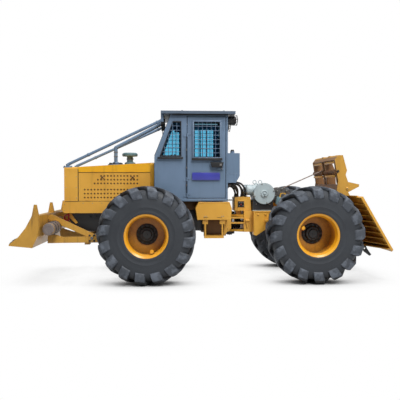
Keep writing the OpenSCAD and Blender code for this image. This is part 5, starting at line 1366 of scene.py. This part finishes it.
winchTrim.box((winchX - 0.204, winchX + 0.17), (-0.294, -0.288), (deck + 0.004, deck + 0.016), "winch")
for x in (winchX - 0.14, winchX + 0.1):
    winchTrim.turned(capped([(0.016, 0), (0.016, 0.014), (0.01, 0.02)]), (x, -0.29, deck + 0.12), left,
                     "steel", 6)
for x in (winchX - 0.122, winchX - 0.02):  # lifting rings
    winchTrim.tube([(x + 0.031 * math.cos(a), 0, winchZ + 0.204 + 0.031 * math.sin(a))
                    for a in [2 * math.pi * k / 24 for k in range(25)]], 0.0065, "winch")
    winchTrim.bar((x, 0, winchZ + 0.099), (x, 0, winchZ + 0.172), 0.012, "winch", 16)
    winchTrim.turned(capped([(0.024, 0), (0.024, 0.02), (0.014, 0.026)]), (x, 0, winchZ + 0.099), (0, 0, 1),
                     "winch", 24)
tankAt = Vector((drumX - 0.078, -0.352, 1.338))
winchTrim.turned(capped([(0.045, -0.07), (0.05, -0.06), (0.05, 0.06), (0.045, 0.07)]), tankAt, (0.25, 0, 1),
                 "cleaner", 36)
winchTrim.box((tankAt.x - 0.012, tankAt.x + 0.012), (tankAt.y, -0.30), (tankAt.z - 0.02, tankAt.z + 0.02),
              "frame")
winchTrim.make("winch_fittings", "rear_frame", 0.002, slotName="winch_grey")
coverBolts = [((winchX + r * math.cos(a), y, winchZ + r * math.sin(a)), (0, math.copysign(1, y), 0))
              for r, y, count in ((0.172, -0.34, 4), (0.15, 0.331, 12)) for a in aroundCircle(count, 15)]
boltRow("winch_cover_bolts", coverBolts, 0.016, "rear_frame")
ropeRadius, coil = 0.0068, []
for start, stop in ((-0.214, -0.012), (0.012, 0.096), (0.114, 0.171), (0.189, 0.214)):
    turns = (stop - start) / (ropeRadius * 2.05)
    count = max(8, int(turns * 26))
    wound = [(2 * math.pi * turns * k / count, start + (stop - start) * k / count) for k in range(count + 1)]
    coil.append([(drumX + (0.0805 + ropeRadius) * math.cos(a), y, drumZ + (0.0805 + ropeRadius) * math.sin(a))
                 for a, y in wound])
wireWork("drum_rope_coils", coil, ropeRadius, "rope", "winch_drum", 6)
sideBolts("drum_flange_bolts", [(drumX + 0.12 * math.cos(a), 0.236, drumZ + 0.12 * math.sin(a))
                                for a in aroundCircle(8)], 0.02, "winch_drum")

archX, archFace, archTrim = rearSettings["arch"], 0.72, Bench()
mark, reach = Vector((archX + 0.062, archFace, 1.855)), 0.03  # a square plate on its corner
archTrim.platePair([(mark.x - reach, mark.z), (mark.x, mark.z - reach), (mark.x + reach, mark.z),
                    (mark.x, mark.z + reach)], (archFace - 0.001, archFace + 0.006), "frame")
archTrim.turnedPair(capped([(0.026, 0), (0.026, 0.008), (0.02, 0.012)]), (archX + 0.222, archFace, 1.56),
                    "rear")
archTrim.turnedPair(capped([(0.012, 0.01), (0.012, 0.02)]), (archX + 0.222, archFace, 1.56), "steel", 6)
for y in ((0.064, 0.10), (0.652, 0.688)):
    archTrim.platePair([(archX + 0.058, 1.64), (archX + 0.005, 2.04), (archX + 0.05, 2.04),
                        (archX + 0.1, 1.64)], y,
                       "arch")
archTrim.boxPair((archX + 0.012, archX + 0.05), (0.1, 0.652), (1.755, 1.79), "rear")
archTrim.platePair([(archX + 0.009, 2.022), (archX + 0.05, 2.045), (archX + 0.05, 2.012),
                    (archX + 0.013, 1.988)],
                   (0.1, 0.652), "rear")
for x, y in ((archX + 0.075, 0.16), (archX + 0.12, 0.42)):
    archTrim.boxPair((x - 0.02, x + 0.045), (y, y + 0.09), (2.1285, 2.1395), "rear")
archTrim.make("arch_lips_and_pins", "rear_frame", 0.004)
boltRow("arch_bolts", [((archX + 0.08 + 0.05 * k, side * (0.1 + 0.1 * j), 2.13), (0, 0, 1))
                       for side in (-1, 1)
                       for k in (0, 1) for j in range(6)], 0.022, "rear_frame", "rear", rivetShape)
print("rear frame fitted")


cabX, floorZ = shell.low.x, shell.low.z
seatSettings = {"voxel": 0.006, "draftVoxel": 0.012, "pressure": 4.0, "frames": 20, "lean": 6,
                "back": (cabX + 1.108, floorZ + 0.765)}


def softPad(name, x, y, z, lean=0, hollow=(), cap=0.024):  # hollow lists the lines of the sewn channels
    centre = Vector([(low + high) / 2 for low, high in (x, y, z)])
    half = Vector([(high - low) / 2 for low, high in (x, y, z)])
    start = bmesh.new()
    bmesh.ops.create_cube(start, size=2.0)
    for v in start.verts:
        v.co = Vector((v.co.x * half.x, v.co.y * half.y, v.co.z * half.z))
    bmesh.ops.bevel(start, geom=list(start.edges), offset=min(half) * 0.55, segments=3, profile=0.6,
                    affect="EDGES")
    mesh = newMesh(name, [], [])
    start.to_mesh(mesh)
    start.free()
    pad = newPiece(name, mesh)
    grid = pad.modifiers.new("grid", "REMESH")
    grid.mode, grid.voxel_size = "VOXEL", seatSettings["voxel"]
    settle(pad)
    thin = min(range(3), key=lambda i: half[i])
    for v in pad.data.vertices:  # seams pull the faces in
        for axis, at, wide, deep in hollow:
            v.co[thin] *= 1 - deep * math.exp(-((v.co[axis] - at) / wide) ** 2)
    before = [v.co.copy() for v in pad.data.vertices]
    cloth = pad.modifiers.new("cloth", "CLOTH")
    cloth.settings.use_pressure = True
    cloth.settings.uniform_pressure_force = seatSettings["pressure"]
    cloth.settings.effector_weights.gravity = 0
    cloth.settings.quality = 4
    for f in range(1, seatSettings["frames"] + 1):
        bpy.context.scene.frame_set(f)
    settle(pad)
    for v, was in zip(pad.data.vertices, before):  # no point swells further than cap
        moved = v.co - was
        if moved.length > cap:
            v.co = was + moved.normalized() * cap
    bpy.context.scene.frame_set(1)
    soft = pad.modifiers.new("soft", "SMOOTH")
    soft.factor, soft.iterations = 0.5, 4
    settle(pad)
    pad.data.transform(Matrix.Translation(centre) @ Matrix.Rotation(math.radians(lean), 4, "Y"))
    pad.data.materials.clear()
    pad.data.materials.append(finish["seat"])
    for face in pad.data.polygons:
        face.material_index = 0
    finishPiece(pad, "front_frame", 60)
    return pad


backX, backZ = seatSettings["back"]
lean = seatSettings["lean"]
base = softPad("seat_base_cushion", (cabX + 0.735, cabX + 1.105), (-0.215, 0.215),
               (floorZ + 0.385, floorZ + 0.465),
               0, [(0, 0.05, 0.012, 0.16), (0, -0.06, 0.012, 0.16), (1, 0.12, 0.012, 0.14),
                   (1, -0.12, 0.012, 0.14)])
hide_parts("operator_seat")
softPad("seat_back_cushion", (backX - 0.03, backX + 0.035), (-0.205, 0.205), (backZ - 0.255, backZ + 0.255),
        lean, [(2, at, 0.014, 0.18) for at in (0.10, -0.02, -0.14)])
softPad("seat_head_rest", (cabX + 1.118, cabX + 1.165), (-0.12, 0.12), (floorZ + 1.04, floorZ + 1.14), lean,
        [(1, 0, 0.014, 0.12)], 0.012)
seatShell, tall = Bench(), 0.27
sway, rise = tall * math.sin(math.radians(lean)), tall * math.cos(math.radians(lean))
footX, topX = backX + 0.046 - sway, backX + 0.046 + sway
seatShell.plate([(footX, backZ - rise), (topX, backZ + rise), (topX + 0.016, backZ + rise),
                 (footX + 0.016, backZ - rise)], (-0.2, 0.2), "plastic")
for y in (-0.06, 0.06):
    seatShell.bar((topX, y, backZ + rise - 0.03), (topX + 0.012, y, backZ + rise + 0.055), 0.007, "steel")
seatShell.platePair([(cabX + 1.03, floorZ + 0.40), (cabX + 1.14, floorZ + 0.40),
                     (footX + 0.03, backZ - rise + 0.1),
                     (footX, backZ - rise + 0.1)], (0.208, 0.216), "frame")
seatShell.boxPair((cabX + 0.80, cabX + 1.06), (0.245, 0.29), (floorZ + 0.62, floorZ + 0.655), "plastic")
seatShell.boxPair((cabX + 1.02, cabX + 1.10), (0.235, 0.265), (floorZ + 0.60, floorZ + 0.64), "frame")
seatShell.box((cabX + 0.73, cabX + 1.12), (-0.21, 0.21), (floorZ + 0.37, floorZ + 0.392), "plastic")
seatShell.make("seat_shell_and_arms", "front_frame", 0.005)
piping, bend = [], 0.03
for z in (floorZ + 0.462, floorZ + 0.392):
    seam = [(x + bend * math.cos(math.radians(turn + 15 * k)),
             y + bend * math.sin(math.radians(turn + 15 * k)), z)
            for x, y, turn in ((cabX + 1.068, 0.179, 0), (cabX + 0.772, 0.179, 90),
                               (cabX + 0.772, -0.179, 180),
                               (cabX + 1.068, -0.179, 270)) for k in range(7)]
    piping.append(seam + seam[:1])
wireWork("seat_base_piping", piping, 0.0035, "piping", "front_frame")

controls, consoleTop, dashX = Bench(), floorZ + 0.48, cabX + 0.12
for side, levers in ((-1, 3), (1, 4)):
    for k in range(levers):
        foot = Vector((cabX + 0.80 + 0.055 * k, side * 0.33, consoleTop - 0.004))
        top = foot + Vector((-0.03 + 0.006 * k, 0, 0.15 + 0.01 * (k % 2)))
        controls.turned(capped([(0.018, 0), (0.014, 0.01), (0.009, 0.022), (0.006, 0.03)]), foot, (0, 0, 1),
                        "seal", 20)
        controls.bar(foot, top, 0.005, "chrome", 10)
        controls.turned([(0, -0.004), (0.010, -0.002), (0.016, 0.012), (0.017, 0.022), (0.012, 0.034),
                         (0, 0.038)],
                        top, top - foot, "red" if k == 3 else "plastic", 20)
controls.boxPair((cabX + 0.765, cabX + 1.055), (0.285, 0.375), (consoleTop - 0.001, consoleTop + 0.005),
                 "frame")
for y, r in ((-0.2, 0.04), (-0.09, 0.03), (0, 0.03), (0.09, 0.03), (0.2, 0.04)):  # gauges
    at, aim = (dashX + 0.105, y, 2.032), (0.9, 0, 0.45)
    controls.turned(capped([(r, 0), (r, 0.008), (r - 0.004, 0.012), (r - 0.006, 0.008)]), at, aim, "chrome",
                    28)
    controls.turned([(0, 0.0085), (r - 0.007, 0.0085), (0, 0.0095)], at, aim, "seal", 28)
for y in [-0.33 + 0.035 * k for k in range(6)]:  # switches
    controls.box((dashX - 0.03, dashX - 0.005), (y, y + 0.02), (2.079, 2.087), "plastic")
wheelAt, turn = Vector((cabX + 0.44, 0, 2.04)), Matrix.Rotation(math.radians(38), 3, "Y")
column = turn @ Vector((0, 0, 1))
controls.turned([(0, -0.02), (0.045, -0.016), (0.05, 0), (0.04, 0.016), (0, 0.022)], wheelAt, column,
                "plastic")
knobAt = wheelAt + turn @ Vector((0.19 * math.cos(2.4), 0.19 * math.sin(2.4), 0.014))
controls.turned([(0, 0), (0.008, 0), (0.008, 0.02), (0.02, 0.028), (0.021, 0.044), (0.012, 0.052),
                 (0, 0.053)],
                knobAt, column, "plastic", 24)
for y, wide in ((-0.16, 0.035), (0.12, 0.045), (0.2, 0.035)):  # pedals
    controls.plate([(cabX + 0.215, floorZ + 0.13), (cabX + 0.226, floorZ + 0.125),
                    (cabX + 0.285, floorZ + 0.245),
                    (cabX + 0.274, floorZ + 0.25)], (y - wide, y + wide), "seal")
    controls.bar((cabX + 0.186, y, floorZ + 0.07), (cabX + 0.225, y, floorZ + 0.15), 0.008, "frame", 10)
controls.make("cab_controls", "front_frame", 0.0015, slotName="console_plastic")

hoseFrom, hoseReach = shell.high.x, pivotX + 0.156 - shell.high.x
hoseSettings = {"radius": 0.0165, "steps": 9, "routes": [  # share of hoseReach, sideways, height
    [(0.10, -0.50, 1.625), (0.34, -0.49, 1.63), (0.62, -0.42, 1.60), (0.80, -0.32, 1.53), (0.86, -0.22, 1.46),
     (0.86, -0.17, 1.412)],
    [(0.10, -0.44, 1.645), (0.42, -0.43, 1.655), (0.85, -0.36, 1.625), (1.08, -0.26, 1.55),
     (1.16, -0.19, 1.47), (1.17, -0.15, 1.408)],
    [(0.10, -0.38, 1.60), (0.27, -0.37, 1.60), (0.50, -0.31, 1.565), (0.66, -0.22, 1.50), (0.74, -0.13, 1.45),
     (0.75, -0.10, 1.412)],
    [(0.10, -0.32, 1.65), (0.50, -0.31, 1.67), (1.05, -0.26, 1.645), (1.36, -0.19, 1.56), (1.44, -0.14, 1.47),
     (1.45, -0.12, 1.408)],
    [(0.10, -0.26, 1.61), (0.32, -0.25, 1.615), (0.65, -0.18, 1.58), (0.88, -0.08, 1.51), (0.95, -0.02, 1.45),
     (0.95, 0.0, 1.412)],
    [(0.10, -0.20, 1.64), (0.45, -0.19, 1.655), (0.95, -0.10, 1.62), (1.28, 0.0, 1.54), (1.38, 0.06, 1.46),
     (1.39, 0.08, 1.408)]]}
fittings, feet = Bench(), Bench()
fittings.box((hoseFrom - 0.001, hoseFrom + 0.022), (-0.555, -0.165), (1.565, 1.662), "frame")
fittings.box((hoseFrom + 0.02, hoseFrom + 0.028), (-0.54, -0.18), (1.58, 1.595), "seal")
for k, route in enumerate(hoseSettings["routes"]):
    line = curvedLine([(hoseFrom + share * hoseReach, y, z) for share, y, z in route], hoseSettings["steps"])
    bench = Bench()
    bench.tube(line, hoseSettings["radius"], "hose", 14)
    hose = bench.make("hydraulic_hose_%d" % (k + 1), None, 0, 60)
    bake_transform(hose)
    if k == 0:
        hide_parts("hydraulic_hoses")
    fittings.turned(capped([(0.021, -0.02), (0.021, 0.03), (0.0195, 0.034)]), line[0], (1, 0, 0), "steel", 24)
    fittings.turned(capped([(0.026, -0.02), (0.026, 0.008)], 0.002), line[0], (1, 0, 0), "steel", 6)
    end = (line[-1].x, line[-1].y, 1.41)
    feet.turned(capped([(0.026, -0.002), (0.026, 0.024)]), end, (0, 0, 1), "steel", 6)
    feet.turned(capped([(0.0205, 0.02), (0.0205, 0.05), (0.018, 0.054)]), end, (0, 0, 1), "steel", 24)
fittings.make("tank_hose_fittings", "front_frame", 0.001, slotName="drum_steel")
feet.make("tower_hose_fittings", "rear_frame", 0.001, slotName="drum_steel")
print("cab fitted out")


studio = {"lens": 49.14, "eye": (frontX + 0.3485, -9.9, 1.62), "turnRight": 3.35, "tiltDown": 1.57,
          "floorTone": (0.42, 0.42, 0.42), "floorHalf": 60, "lights": (  # energy, size, place, target
              ("overheadLight", 700, 6.0, (1.0, -3.0, 10.0), (0, 0, 1.0)),
              ("frontLight", 2300, 5.0, (6.0, -17.5, 16.5), (0, 0, 1.0)),
              ("rearLight", 160, 6.0, (7.5, 6.5, 6.0), (0.5, 0, 1.0)))}
camera = newPiece("studioCamera", bpy.data.cameras.new("studioCamera"))
camera.data.lens = studio["lens"]
camera.location = studio["eye"]
camera.rotation_euler = (math.radians(90 - studio["tiltDown"]), 0, -math.radians(studio["turnRight"]))
bpy.context.scene.camera = camera
bpy.context.scene.view_settings.view_transform = "Standard"

reach = studio["floorHalf"]
corners = [(-reach, -reach, 0), (reach, -reach, 0), (reach, reach, 0), (-reach, reach, 0)]
floor = newPiece("studioFloor", newMesh("studioFloor", corners, [(0, 1, 2, 3)]))
floorFinish, g = newMaterial("studioFloor")
rays = g.add("ShaderNodeLightPath", output=None)
seen = g.clamp(Wire(g, rays.outputs["Is Camera Ray"]) + Wire(g, rays.outputs["Is Glossy Ray"])
               + Wire(g, rays.outputs["Is Transmission Ray"]))
matte = g.add("ShaderNodeBsdfDiffuse", None, {"Color": studio["floorTone"]})
glow = g.add("ShaderNodeEmission", None, {"Color": (1, 1, 1), "Strength": 1.0})
shade = g.add("ShaderNodeAmbientOcclusion", {"samples": 8, "only_local": False}, {"Distance": 0.9}, "AO")
g.show(g.add("ShaderNodeMixShader", None, {0: seen * g.step(shade, 0.15, 0.9), 1: matte, 2: glow}))
floor.data.materials.append(floorFinish)

world = bpy.data.worlds.new("studioSky")
bpy.context.scene.world = world
world.use_nodes = True
world.node_tree.nodes.clear()
g = Graph(world.node_tree)
rays = g.add("ShaderNodeLightPath", output=None)
seen = g.clamp(Wire(g, rays.outputs["Is Camera Ray"]) + Wire(g, rays.outputs["Is Transmission Ray"]))
sky = g.add("ShaderNodeBackground", None, {"Color": tone(236, 240, 246), "Strength": 0.36})
card = g.add("ShaderNodeBackground", None, {"Color": (1, 1, 1), "Strength": 1.0})
both = g.add("ShaderNodeMixShader", None, {0: seen, 1: sky, 2: card})
g.add("ShaderNodeOutputWorld", None, {"Surface": both}, None)

for name, energy, size, at, aim in studio["lights"]:
    lamp = newPiece(name, bpy.data.lights.new(name, "AREA"))
    lamp.data.energy, lamp.data.size = energy, size
    lamp.location = at
    lamp.rotation_euler = (Vector(aim) - Vector(at)).to_track_quat("-Z", "Y").to_euler()
print("studio ready")
